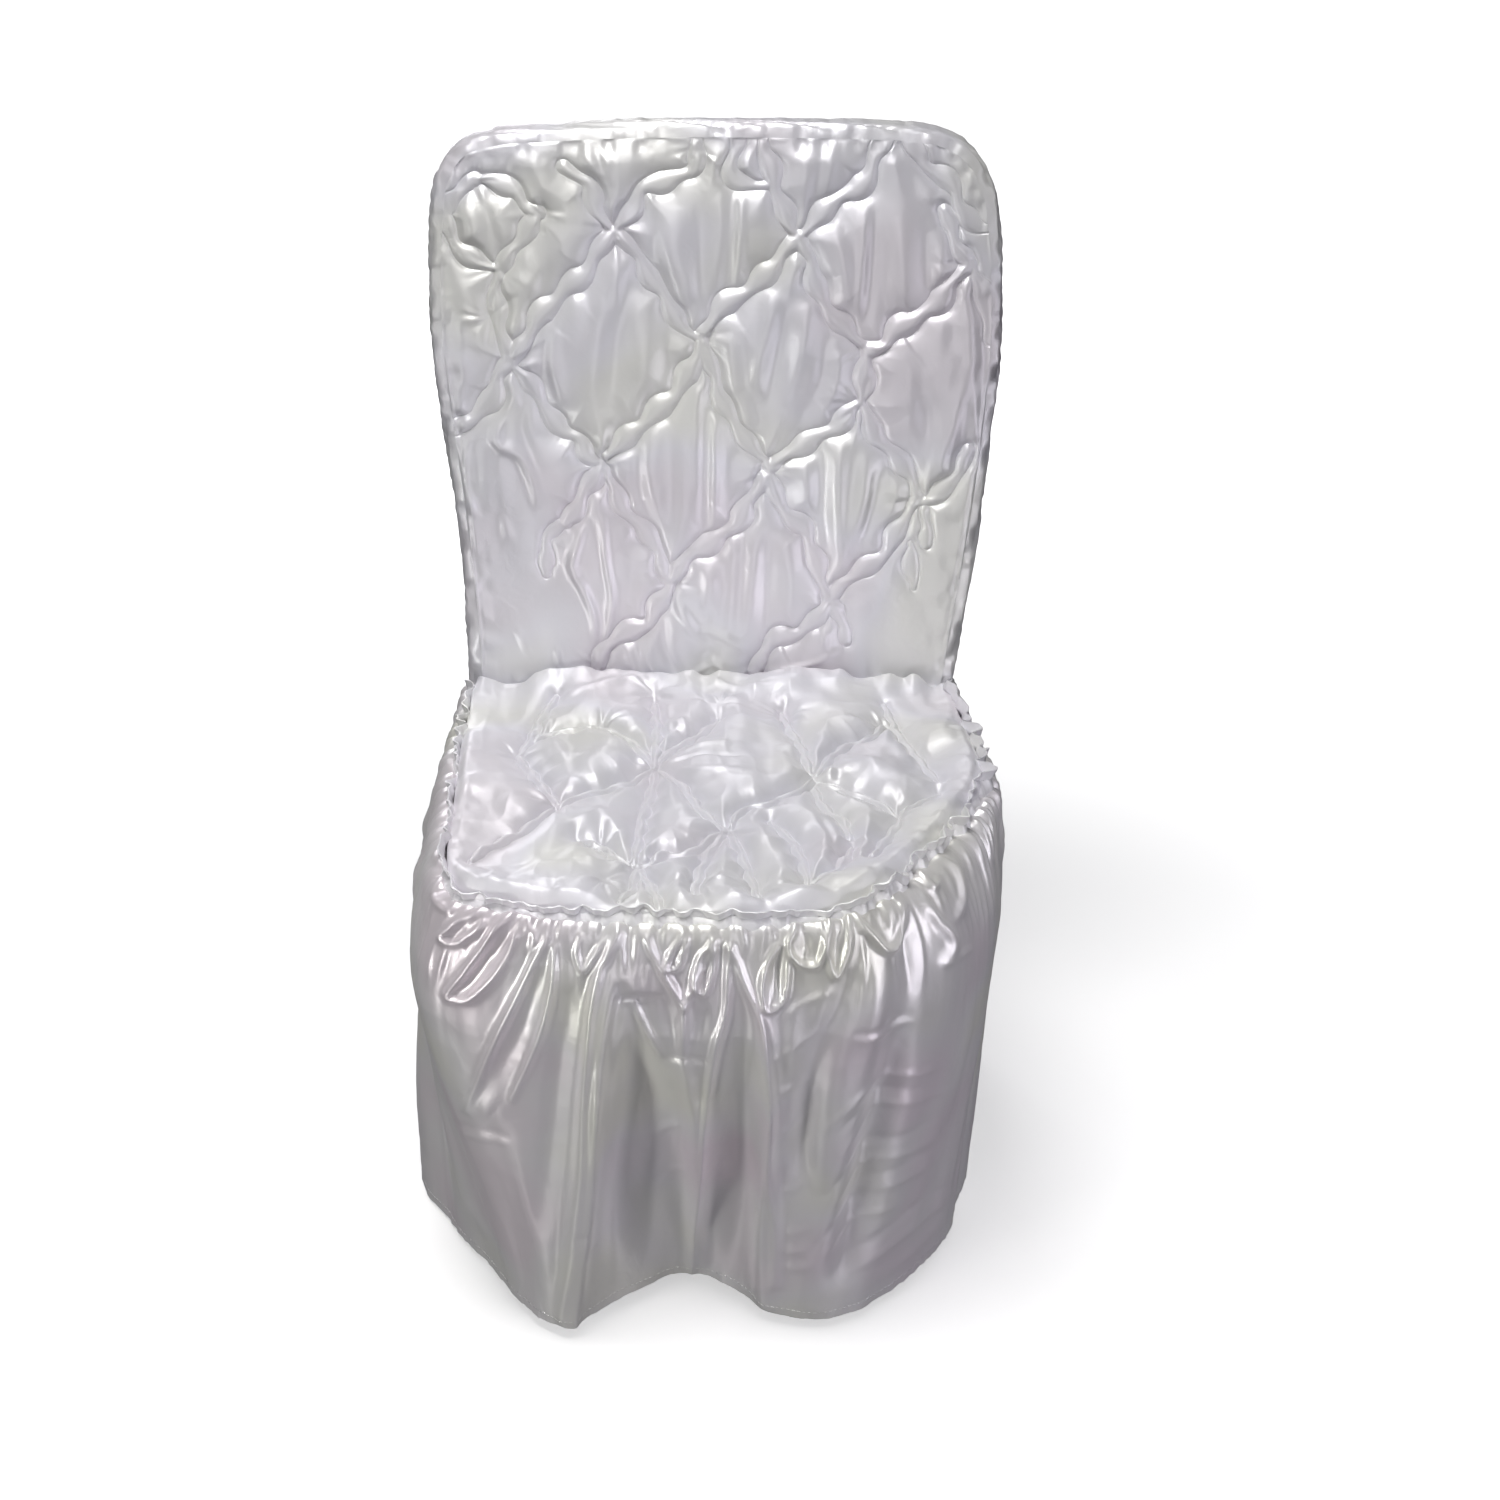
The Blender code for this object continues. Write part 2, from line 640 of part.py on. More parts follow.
def back_panel_front(material):
    seam, out = back_stations()
    sides = seam - 0.5 * SEAM_GAP * out
    foot = foot_edge(sides[-1, 0], sides[0, 0], POCKET_FOOT_Z, FOOT_STATIONS)
    border = np.vstack([sides, foot])[::-1]
    flat = smocked_points(border, BACK_KNOTS, BACK_LINKS)
    height = smocked_height(flat, BACK_KNOTS, BACK_LINKS, BACK_FOLDS, BACK_PLAIN, BACK_PUFF, border)
    front = back_front_y(flat[:, 1])
    outer = np.stack([flat[:, 0], front - height, flat[:, 1]], axis=1)
    inner = outer + np.array([0.0, QUILTED_CLOTH, 0.0])
    return outline_sheet("back_panel_front", len(border), flat, outer, inner, material)


def back_band(material):
    seam, out = back_stations()
    section = np.array(BAND_SECTION)
    front = back_front_y(seam[:, 1])
    depth = rear_y(seam[:, 1]) - front
    outer = []
    for stand, share in section:
        place = seam + (stand + 0.5 * SEAM_GAP) * out
        outer.append(np.stack([place[:, 0], front + share * depth, place[:, 1]], axis=1))
    outer = np.array(outer)
    # The cloth lies inside its outer face, square to the section
    typical = np.stack([section[:, 0], section[:, 1] * depth.mean()], axis=1)
    inward = -sideways(typical, -1.0)
    inward[0] = (0.0, 1.0)
    inward[-1] = (0.0, -1.0)
    inner = outer.copy()
    for number, (stand, deep) in enumerate(inward):
        inner[number, :, 0] += BAND_CLOTH * stand * out[:, 0]
        inner[number, :, 1] += BAND_CLOTH * deep
        inner[number, :, 2] += BAND_CLOTH * stand * out[:, 1]
    return grid_sheet("back_band", outer[::-1], inner[::-1], material)


def run_knots():
    return np.arange(len(SKIRT_RUN), dtype=float)


def skirt_stations():
    # Places along the run: both rear corners, and between them the seat seam
    rows = np.array(SKIRT_RUN)
    knots = run_knots()
    seam = even_knots(knots, rows[:, :2], SEAM_FIRST, SEAM_LAST, SEAM_STATIONS)
    left = np.linspace(0.0, SEAM_FIRST, CORNER_STATIONS + 1)[:-1]
    right = np.linspace(SEAM_LAST, len(SKIRT_RUN) - 1, CORNER_STATIONS + 1)[1:]
    return np.concatenate([left, seam, right])


def gather_signs(count):
    # Crests and hollows in turn, none of them quite alike
    spread = np.random.default_rng(SEED).uniform(-1.0, 1.0, count)
    signs = np.where(np.arange(count) % 2, -1.0, 1.0)
    return signs, spread


def rear_edge_x(side, z):
    # Side edge of the rear panel, from the pocket's foot down to the hem
    seam, out = back_stations()
    corner = 0 if side < 0 else -1
    top = seam[corner, 0] + REAR_SEAM_OUT * out[corner, 0]
    share = np.clip(1 - z / POCKET_FOOT_Z, 0.0, 1.0)
    ease = 0.5 * (share + share * share * (3 - 2 * share))
    return top + (side * REAR_HEM_HALF - top) * ease


def skirt_base(stations):
    # The hung cloth before its folds: rows are the levels, columns the stations
    rows = smooth_curve(run_knots(), np.array(SKIRT_RUN), stations)
    seam, hip, hem, hem_z = rows[:, :2], rows[:, 2:4], rows[:, 4:6], rows[:, 6]
    out = sideways(seam, -1.0)
    seam = seam + (FRILL_HALF + SEAM_GAP) * out
    grid = []
    for shoulder, fall in SKIRT_LEVELS:
        round_off = math.sin(0.5 * math.pi * shoulder)
        lowered = 1 - math.cos(0.5 * math.pi * shoulder)
        ease = (1 - HEM_SWEEP) * fall + HEM_SWEEP * fall * fall * (3 - 2 * fall)
        flat = seam + (hip - seam) * round_off + (hem - hip) * ease
        height = SKIRT_TOP_Z + (HIP_Z - SKIRT_TOP_Z) * lowered
        level = np.full(len(stations), height) + (hem_z - HIP_Z) * fall
        grid.append(np.column_stack([flat, level]))
    return np.array(grid)


def grid_normals(grid):
    down = np.gradient(grid, axis=0)
    across = np.gradient(grid, axis=1)
    normals = np.cross(down, across)
    return normals / np.linalg.norm(normals, axis=2)[:, :, None]


def skirt(material):
    stations = skirt_stations()
    base = skirt_base(stations)
    outward = grid_normals(base)
    signs, spread = gather_signs(len(stations))
    from_rear = np.minimum(stations, len(SKIRT_RUN) - 1 - stations)
    calm = np.clip(from_rear - REAR_CALM, 0.0, 1.0)
    relief = np.zeros(base.shape[:2])
    for number, (shoulder, fall) in enumerate(SKIRT_LEVELS):
        drop = SHOULDER_DROP * shoulder + (1 - SHOULDER_DROP) * fall
        places = np.stack([stations, np.full(len(stations), drop / DROP_PER_RUN)], axis=1)
        for top, top_drop, hem, hem_drop, width, height in SKIRT_FOLDS:
            row = (top, top_drop / DROP_PER_RUN, hem, hem_drop / DROP_PER_RUN, width, height)
            relief[number] += soft_fold(places, row) * min(1.0, FOLD_ONSET * drop)
        gathers = (GATHER_HEIGHT + GATHER_SPREAD * spread) * signs
        relief[number] += gathers * GATHER_SHARE[number]
    outer = base + outward * (relief * calm)[:, :, None]
    turned = grid_normals(outer)
    # Along the seat seam the top edge lies flat, so its cut edge stands upright
    level_edge = np.clip(from_rear, 0.0, 1.0)
    turned[0] = turned[0] * [1.0, 1.0, 0.0] * (1 - level_edge)[:, None]
    turned[0, :, 2] = np.maximum(level_edge, UPRIGHT_LEAST)
    turned[0] /= np.linalg.norm(turned[0], axis=1)[:, None]
    inner = outer - PLAIN_CLOTH * turned
    for side, column in ((-1, 0), (1, -1)):
        heights = outer[:, column, 2].copy()
        edge = rear_edge_x(side, heights) + side * SEAM_GAP
        rear = rear_y(heights)
        inner[:, column] = np.stack([edge, rear, heights], axis=1)
        outer[:, column] = inner[:, column] + np.array([side * PLAIN_CLOTH, 0.0, 0.0])
    return grid_sheet("skirt", outer, inner, material)


def seat_stations():
    # Seat seam, station by station, with its outward direction
    stations = skirt_stations()[CORNER_STATIONS:-CORNER_STATIONS]
    rows = smooth_curve(run_knots(), np.array(SKIRT_RUN), stations)
    return rows[:, :2], sideways(rows[:, :2], -1.0)


def seat_panel(material):
    seam, out = seat_stations()
    edge = seam - (FRILL_HALF + SEAM_GAP) * out
    rear = SEAT_BACK_Y - SEAT_REAR_SETBACK
    edge[:, 1] = np.minimum(edge[:, 1], rear)
    edge[0, 1] = rear
    edge[-1, 1] = rear
    border = np.vstack([edge, foot_edge(edge[-1, 0], edge[0, 0], rear, SEAT_REAR_STATIONS)])
    flat = smocked_points(border, SEAT_KNOTS, SEAT_LINKS)
    height = smocked_height(flat, SEAT_KNOTS, SEAT_LINKS, SEAT_FOLDS, SEAT_PLAIN, SEAT_PUFF, border)
    away, _ = off_line(flat, np.vstack([border, border[:1]]))
    crown = SEAT_CROWN * (1 - (1 - np.clip(away / SEAT_CROWN_REACH, 0.0, 1.0)) ** 2)
    outer = np.stack([flat[:, 0], flat[:, 1], SEAT_Z + height + crown], axis=1)
    inner = outer - np.array([0.0, 0.0, QUILTED_CLOTH])
    return outline_sheet("seat_panel", len(border), flat, outer, inner, material)


def seat_frill(material):
    seam, out = seat_stations()
    kept = slice(FRILL_END_STATIONS, len(seam) - FRILL_END_STATIONS)
    seam, out = seam[kept], out[kept]
    signs, spread = gather_signs(len(seam))
    outer, inner = [], []
    for height, lean, share in FRILL_SECTION:
        wave = (FRILL_WAVE + FRILL_UNEVEN * FRILL_RAGGED * spread) * signs
        middle = lean + share * wave
        level = SEAT_Z + height + share * FRILL_RAGGED * spread
        for grid, half in ((outer, FRILL_HALF), (inner, -FRILL_HALF)):
            flat = seam + (middle + half)[:, None] * out
            grid.append(np.column_stack([flat, level]))
    return grid_sheet("seat_frill", np.array(outer)[::-1], np.array(inner)[::-1], material)


def back_panel_rear(material):
    seam, out = back_stations()
    rim = seam + (REAR_SEAM_OUT - 0.5 * SEAM_GAP) * out
    hung = skirt_base(skirt_stations())
    right_z = hung[1:, -1, 2]
    left_z = hung[1:, 0, 2]
    right = np.stack([rear_edge_x(1, right_z), right_z], axis=1)
    left = np.stack([rear_edge_x(-1, left_z), left_z], axis=1)
    hem = foot_edge(right[-1, 0], left[-1, 0], 0.0, FOOT_STATIONS)
    border = np.vstack([rim, right, hem, left[::-1]])[::-1]
    flat = spread_out(border, even_points(border, REAR_SPACING), REAR_CLEAR * REAR_SPACING)
    away, _ = off_line(flat, np.vstack([border, border[:1]]))
    side_fade = np.clip((REAR_HEM_HALF - np.abs(flat[:, 0])) / REAR_SIDE_FADE, 0.0, 1.0)
    depth = rear_y(flat[:, 1])
    for x, width, height, start in REAR_FOLDS:
        grown = np.clip((start - flat[:, 1]) / start, 0.0, 1.0) ** REAR_FOLD_GROWTH
        depth += height * grown * side_fade * bell(flat[:, 0] - x, width)
    depth += REAR_SAG * np.clip(away / REAR_SAG_REACH, 0.0, 1.0)
    outer = np.stack([flat[:, 0], depth, flat[:, 1]], axis=1)
    inner = outer - np.array([0.0, PLAIN_CLOTH, 0.0])
    return outline_sheet(
        "back_panel_rear", len(border), flat, outer, inner, material, faces_back=True
    )


def main():
    clear_scene()
    smocked = satin("smocked_satin")
    plain = satin("plain_satin")
    heading = satin("heading_satin")
    back_panel_front(smocked)
    back_band(plain)
    back_panel_rear(plain)
    seat_panel(smocked)
    seat_frill(heading)
    skirt(plain)


main()
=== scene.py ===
import math
import bpy
import numpy as np
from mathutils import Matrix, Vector


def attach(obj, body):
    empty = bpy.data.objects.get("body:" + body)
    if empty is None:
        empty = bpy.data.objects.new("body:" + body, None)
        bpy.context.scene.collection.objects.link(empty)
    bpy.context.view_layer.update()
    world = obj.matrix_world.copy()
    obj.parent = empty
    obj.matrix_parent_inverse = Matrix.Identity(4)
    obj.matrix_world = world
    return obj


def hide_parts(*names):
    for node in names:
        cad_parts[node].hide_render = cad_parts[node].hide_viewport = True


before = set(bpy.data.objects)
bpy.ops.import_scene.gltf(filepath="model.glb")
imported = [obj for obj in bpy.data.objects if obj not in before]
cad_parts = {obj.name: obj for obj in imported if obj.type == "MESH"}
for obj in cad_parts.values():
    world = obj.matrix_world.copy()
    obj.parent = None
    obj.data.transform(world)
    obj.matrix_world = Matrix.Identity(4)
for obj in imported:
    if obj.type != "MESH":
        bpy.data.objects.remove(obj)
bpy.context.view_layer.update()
print("frame loaded")

# The photograph's own viewpoint. Paths below that are given in pixels are in its 1500 x 1500 frame.
lens = {
    "tilt": math.radians(28.892),   # the camera looks down this far
    "place": (0.0040, -1.5905, 1.300),
    "focal": 2250.06,               # pixels
    "middle": (705.0, 761.7),       # pixel that the camera's axis passes
    "frame": 1500.0,
    "sensor": 36.0,
}

# Sizes shared by the pieces, the same as in the solids
cover = {
    "shift": (0.0040, -0.0205, 0.0),   # from the tables below to the middle of the footprint
    "seatZ": 0.412,
    "seatBackY": 0.170,
    "backTopZ": 0.8815,
    "backTopY": 0.2295,
    "hipZ": 0.322,
    "footZ": 0.4112,
    "skirtTopZ": 0.4105,
    "seamGap": 0.0003,
    "seamInset": 0.0010,               # of the seat's edge and the skirt's top, to each side of their seam
    "bandOut": 0.0092,
    "rearSeamOut": 0.0042,
    "cloth": 0.0009,
    "backPuff": 0.004,                 # paths read one by one lie this far over the back and the seat
    "seatPuff": 0.006,
}

# How finely lines and sheets are drawn
drawing = {
    "finePerKnot": 60,                 # points that measure a curve, for each of its knots
    "farOff": 1e6,
    "noiseCells": 97,                  # the noise repeats after this many cells
    "creaseWidth": 0.6,                # power that makes ridges of it
    "sheetStep": 4,                    # the inner face of a sheet has every fourth point of the outer one
    "millimetre": 0.001,
}

backOutline = (  # x, z: left foot, over the top, right foot
    (-0.2030, 0.4112), (-0.2035, 0.457), (-0.2065, 0.510), (-0.2115, 0.580), (-0.2185, 0.647),
    (-0.2235, 0.705), (-0.2235, 0.762), (-0.2195, 0.812), (-0.2130, 0.8430), (-0.1975, 0.8650),
    (-0.1690, 0.8745), (-0.1250, 0.8780), (-0.0700, 0.8805), (-0.0050, 0.8815), (0.0600, 0.8810),
    (0.1200, 0.8800), (0.1640, 0.8780), (0.1950, 0.8720), (0.2180, 0.8560), (0.2310, 0.8320),
    (0.2370, 0.8020), (0.2410, 0.7650), (0.2430, 0.7150), (0.2415, 0.6640), (0.2385, 0.6220),
    (0.2340, 0.5750), (0.2275, 0.5200), (0.2205, 0.4680), (0.2140, 0.4112),
)
rearFall = (  # z, y of the rear cloth, seen from the side
    (0.000, 0.2400), (0.110, 0.2345), (0.230, 0.2270), (0.335, 0.2225), (0.411, 0.2235),
    (0.500, 0.2300), (0.650, 0.2445), (0.780, 0.2570), (0.900, 0.2690),
)
skirtRun = (  # seam x, seam y, hip x, hip y, hem x, hem y, hem z: left rear, round the front, right rear
    (-0.2000, 0.2235, -0.209, 0.2225, -0.238, 0.240, 0.000),
    (-0.2000, 0.1700, -0.217, 0.168, -0.247, 0.160, 0.000),
    (-0.1990, 0.1130, -0.224, 0.108, -0.250, 0.085, 0.000),
    (-0.2000, 0.0510, -0.229, 0.046, -0.250, 0.015, 0.000),
    (-0.1980, -0.0100, -0.230, -0.012, -0.231, -0.032, 0.002),
    (-0.1960, -0.0700, -0.230, -0.068, -0.208, -0.068, 0.004),
    (-0.1940, -0.1250, -0.227, -0.126, -0.182, -0.108, 0.006),
    (-0.1820, -0.1700, -0.213, -0.178, -0.157, -0.150, 0.008),
    (-0.1490, -0.1870, -0.171, -0.205, -0.138, -0.176, 0.010),
    (-0.1120, -0.1960, -0.124, -0.215, -0.112, -0.183, 0.011),
    (-0.0760, -0.2000, -0.081, -0.219, -0.080, -0.165, 0.012),
    (-0.0350, -0.2025, -0.037, -0.221, -0.046, -0.138, 0.012),
    (0.0080, -0.2045, 0.008, -0.222, -0.011, -0.121, 0.012),
    (0.0500, -0.2040, 0.053, -0.221, 0.025, -0.144, 0.012),
    (0.0900, -0.1980, 0.098, -0.217, 0.066, -0.173, 0.010),
    (0.1180, -0.1810, 0.139, -0.203, 0.108, -0.173, 0.008),
    (0.1460, -0.1500, 0.178, -0.172, 0.149, -0.143, 0.006),
    (0.1780, -0.1000, 0.212, -0.122, 0.184, -0.104, 0.004),
    (0.2060, -0.0500, 0.234, -0.066, 0.211, -0.062, 0.002),
    (0.2220, -0.0050, 0.243, -0.010, 0.226, -0.013, 0.000),
    (0.2200, 0.0450, 0.242, 0.044, 0.236, 0.042, 0.000),
    (0.2140, 0.1050, 0.233, 0.104, 0.240, 0.104, 0.000),
    (0.2120, 0.1700, 0.224, 0.168, 0.240, 0.170, 0.000),
    (0.2100, 0.2235, 0.218, 0.2225, 0.236, 0.240, 0.000),
)
runTable = np.array(skirtRun)
runKnots = np.arange(len(skirtRun), dtype=float)


# Curves and fields

def runLengths(line):
    return np.concatenate([[0.0], np.cumsum(np.linalg.norm(np.diff(line, axis=0), axis=1))])


def smoothCurve(knots, rows, at):
    rows, at = np.asarray(rows, float), np.asarray(at, float)
    slopes = np.gradient(rows, knots, axis=0)
    first = np.clip(np.searchsorted(knots, at, side="right") - 1, 0, len(knots) - 2)
    span = (knots[first + 1] - knots[first])[:, None]
    u = (at - knots[first])[:, None] / span
    swing = u * u * (3 - 2 * u)
    return (rows[first] * (1 - swing) + rows[first + 1] * swing
            + slopes[first] * span * u * (1 - u) ** 2 - slopes[first + 1] * span * u * u * (1 - u))


def evenKnots(knots, rows, low, high, count):
    fine = np.linspace(low, high, drawing["finePerKnot"] * len(knots))
    run = runLengths(smoothCurve(knots, rows, fine))
    return np.interp(np.linspace(0.0, run[-1], count), run, fine)


def smoothLine(points, count):
    rows = np.asarray(points, float)
    if len(rows) == 2:
        return rows[0] + np.linspace(0, 1, count)[:, None] * (rows[1] - rows[0])
    knots = runLengths(rows)
    return smoothCurve(knots, rows, np.linspace(knots[0], knots[-1], count))


def levelLine(left, right, level, count):
    return np.stack([np.linspace(left, right, count), np.full(count, level)], axis=1)


def sideways(line, turn):
    ahead = np.gradient(line, axis=0)
    ahead /= np.linalg.norm(ahead, axis=1)[:, None]
    return turn * np.stack([-ahead[:, 1], ahead[:, 0]], axis=1)


def nearestOn(points, line):
    # distance from a line, the share of its length there (0 to 1), and the way back to the point
    away = np.full(len(points), drawing["farOff"])
    share, back = np.zeros(len(points)), np.zeros(points.shape)
    run = runLengths(line)
    for start, end, before, after in zip(line[:-1], line[1:], run[:-1], run[1:]):
        step = end - start
        if not step.any():
            continue
        rel = points - start
        u = np.clip(rel @ step / (step @ step), 0.0, 1.0)
        gap = rel - u[:, None] * step
        far = np.sqrt((gap * gap).sum(axis=1))
        closer = far < away
        away[closer], back[closer] = far[closer], gap[closer]
        share[closer] = ((before + u * (after - before)) / run[-1])[closer]
    return away, share, back


def offLine(points, line, reach=drawing["farOff"]):
    # distance from a line and the share of its length there; points past reach stay far off
    away, share = np.full(len(points), drawing["farOff"]), np.zeros(len(points))
    inside = (points > line.min(axis=0) - reach) & (points < line.max(axis=0) + reach)
    near = np.nonzero(inside.all(axis=1))[0]
    if len(near):
        away[near], share[near], _ = nearestOn(points[near], line)
    return away, share


def bell(distance, width):
    return np.exp(-((distance / width) ** 2))


def ease(value):
    value = np.clip(value, 0.0, 1.0)
    return value * value * (3 - 2 * value)


def taper(share, start, power):
    # full in the middle of a path and low at both ends
    return np.sin(math.pi * (start + (1 - 2 * start) * share)) ** power


def softNoise(places, cell, seed):
    # smooth random swells, -1 to 1, about one cell across
    size = drawing["noiseCells"]
    table = np.random.default_rng(seed).uniform(-1, 1, (size, size))
    p = places / np.asarray(cell)
    base = np.floor(p).astype(int)
    f = p - base
    f = f * f * f * (f * (6 * f - 15) + 10)
    i, j = base[:, 0] % size, base[:, 1] % size
    k, m = (base[:, 0] + 1) % size, (base[:, 1] + 1) % size
    low = table[i, j] * (1 - f[:, 0]) + table[k, j] * f[:, 0]
    high = table[i, m] * (1 - f[:, 0]) + table[k, m] * f[:, 0]
    return low * (1 - f[:, 1]) + high * f[:, 1]


def creases(places, cell, seed):
    # narrow ridges that wander between the swells
    return 1 - 2 * np.abs(softNoise(places, cell, seed)) ** drawing["creaseWidth"]


def swells(places, row, kind=softNoise):
    # one row of a piece's dictionary: size of the cells, height, seed
    cell, height, seed = row
    return height * kind(places, cell, seed)


# The photograph's rays

forward = np.array([0.0, math.cos(lens["tilt"]), -math.sin(lens["tilt"])])
upward = np.array([0.0, math.sin(lens["tilt"]), math.cos(lens["tilt"])])
shift = np.array(cover["shift"])
eye = np.array(lens["place"]) - shift


def pixelOf(points):
    away = points - eye
    depth = away @ forward
    return np.stack([lens["middle"][0] + lens["focal"] * away[:, 0] / depth,
                     lens["middle"][1] - lens["focal"] * (away @ upward) / depth], axis=1)


def throughPixel(pixels, normal, spot):
    pixels = np.asarray(pixels, float)
    rays = (forward + upward * (lens["middle"][1] - pixels[:, 1:]) / lens["focal"]
            + np.array([1.0, 0, 0]) * (pixels[:, :1] - lens["middle"][0]) / lens["focal"])
    far = ((np.asarray(spot) - eye) @ normal) / (rays @ normal)
    return eye + rays * far[:, None]


backLean = math.atan2(cover["backTopY"] - cover["seatBackY"], cover["backTopZ"] - cover["seatZ"])
backNormal = np.array([0.0, math.cos(backLean), -math.sin(backLean)])


def onBack(pixels):
    spot = (0, cover["seatBackY"] - cover["backPuff"], cover["seatZ"])
    return throughPixel(pixels, backNormal, spot)[:, [0, 2]]


def onSeat(pixels):
    spot = (0, 0, cover["seatZ"] + cover["seatPuff"])
    return throughPixel(pixels, np.array([0.0, 0.0, 1.0]), spot)[:, :2]


# Meshes

def addObject(name, data):
    made = bpy.data.objects.new(name, data)
    bpy.context.scene.collection.objects.link(made)
    return made


def gridNormals(grid):
    down, across = np.gradient(grid, axis=0), np.gradient(grid, axis=1)
    normals = np.cross(down, across)
    return normals / np.maximum(np.linalg.norm(normals, axis=2), 1e-12)[:, :, None]


def innerFace(outer, thickness):
    # moved inwards past the deepest groove around each point, so that it never shows through
    step = drawing["sheetStep"]
    knots = outer[::step, ::step]
    inward = -gridNormals(knots)
    rows, columns = outer.shape[:2]
    deepest = np.zeros(knots.shape[:2])
    for down in range(-step, step + 1):
        for across in range(-step, step + 1):
            i = np.clip(np.arange(0, rows, step) + down, 0, rows - 1)
            j = np.clip(np.arange(0, columns, step) + across, 0, columns - 1)
            deepest = np.maximum(deepest, ((outer[np.ix_(i, j)] - knots) * inward).sum(axis=2))
    deepest[[0, -1]] = 0.0
    deepest[:, [0, -1]] = 0.0
    return knots + inward * (thickness + deepest)[:, :, None]


def rimFaces(fine, coarse, flip):
    # along one edge: each step of the inner face meets four steps of the outer one
    faces = []
    step = drawing["sheetStep"]
    for k, (p, q) in enumerate(zip(coarse[:-1], coarse[1:])):
        a, b, c, d, e = fine[step * k:step * (k + 1) + 1]
        fan = [(a, b, p), (b, c, p), (c, q, p), (c, d, q), (d, e, q)]
        faces += [tuple(reversed(t)) for t in fan] if flip else fan
    return faces


def clothObject(name, outer, thickness, sewn=None):
    # Closed thin sheet. Rows go down and columns to the right as seen from outside, and there is one more
    # of each than a multiple of four. Sewn is each point's distance from the nearest stitched line.
    rows, columns = outer.shape[:2]
    inner = innerFace(outer, thickness)
    o = np.arange(rows * columns).reshape(rows, columns)
    n = rows * columns + np.arange(inner[:, :, 0].size).reshape(inner.shape[:2])
    quads = [np.stack([o[:-1, :-1], o[1:, :-1], o[1:, 1:], o[:-1, 1:]], axis=2).reshape(-1, 4),
             np.stack([n[:-1, :-1], n[:-1, 1:], n[1:, 1:], n[1:, :-1]], axis=2).reshape(-1, 4)]
    rim = (rimFaces(o[0], n[0], False) + rimFaces(o[-1], n[-1], True)
           + rimFaces(o[:, 0], n[:, 0], True) + rimFaces(o[:, -1], n[:, -1], False))
    points = np.vstack([outer.reshape(-1, 3), inner.reshape(-1, 3)]) + shift
    faces = [tuple(map(int, q)) for part in quads for q in part] + [tuple(map(int, t)) for t in rim]
    mesh = bpy.data.meshes.new(name)
    mesh.from_pydata(points.tolist(), [], faces)
    mesh.shade_smooth()
    ring = np.zeros(len(points), int)          # the two edges of the cut cloth stay sharp
    for number, sheet in ((1, o), (2, n)):
        for side in (sheet[0], sheet[-1], sheet[:, 0], sheet[:, -1]):
            ring[side] = number
    pairs = np.empty(2 * len(mesh.edges), dtype=np.int32)
    mesh.edges.foreach_get("vertices", pairs)
    ends = ring[pairs.reshape(-1, 2)]
    sharp = (ends[:, 0] == ends[:, 1]) & (ends[:, 0] > 0)
    mesh.attributes.new("sharp_edge", "BOOLEAN", "EDGE").data.foreach_set("value", sharp)
    if sewn is not None:
        step = drawing["sheetStep"]
        both = np.concatenate([sewn.reshape(-1), sewn.reshape(rows, columns)[::step, ::step].reshape(-1)])
        mesh.attributes.new("stitch", "FLOAT", "POINT").data.foreach_set("value", both.astype(np.float32))
    mesh.update()
    return addObject(name, mesh)


def patch(bottom, top, left, right):
    # Grid inside four edges. Bottom and top run left to right, left and right run upwards
    u = np.linspace(0, 1, len(bottom))[None, :, None]
    v = np.linspace(0, 1, len(left))[:, None, None]
    corners = ((1 - u) * (1 - v) * bottom[0] + u * (1 - v) * bottom[-1]
               + (1 - u) * v * top[0] + u * v * top[-1])
    return ((1 - v) * bottom[None] + v * top[None] + (1 - u) * left[:, None] + u * right[:, None] - corners)


def loopAround(bottom, top, left, right, every):
    border = np.vstack([bottom, right[1:], top[::-1][1:], left[::-1][1:-1]])[::every]
    return np.vstack([border, border[:1]])


# Lines that the back's pieces share

def backFrontY(z):
    share = (z - cover["seatZ"]) / (cover["backTopZ"] - cover["seatZ"])
    return cover["seatBackY"] + (cover["backTopY"] - cover["seatBackY"]) * share


def rearY(z):
    rows = np.array(rearFall)
    return smoothCurve(rows[:, 0], rows[:, 1:], np.ravel(z))[:, 0].reshape(np.shape(z))


seamShape = {
    "ends": 9,                                   # points enough to find where the seam ends
    "around": 0.004,                             # its direction is taken over this length to each side
    "cornerLeft": 0.349, "cornerRight": 0.652,   # shares of the seam where the sides turn into the top
}


def backSeam(count, low=0.0, high=1.0):
    # seam between the front panel and the band, and the direction out of the panel
    rows = np.array(backOutline)
    knots = runLengths(rows)
    at = evenKnots(knots, rows, knots[-1] * low, knots[-1] * high, count)
    line = smoothCurve(knots, rows, at)
    beside = at[:, None] + np.array([-seamShape["around"], seamShape["around"]])
    around = smoothCurve(knots, rows, np.clip(beside, 0, knots[-1]).ravel()).reshape(-1, 2, 2)
    ahead = around[:, 1] - around[:, 0]
    ahead /= np.linalg.norm(ahead, axis=1)[:, None]
    out = np.stack([-ahead[:, 1], ahead[:, 0]], axis=1)
    if low == 0.0:
        out[0] = (-1.0, 0.0)
    if high == 1.0:
        out[-1] = (1.0, 0.0)
    return line - cover["bandOut"] * out, out


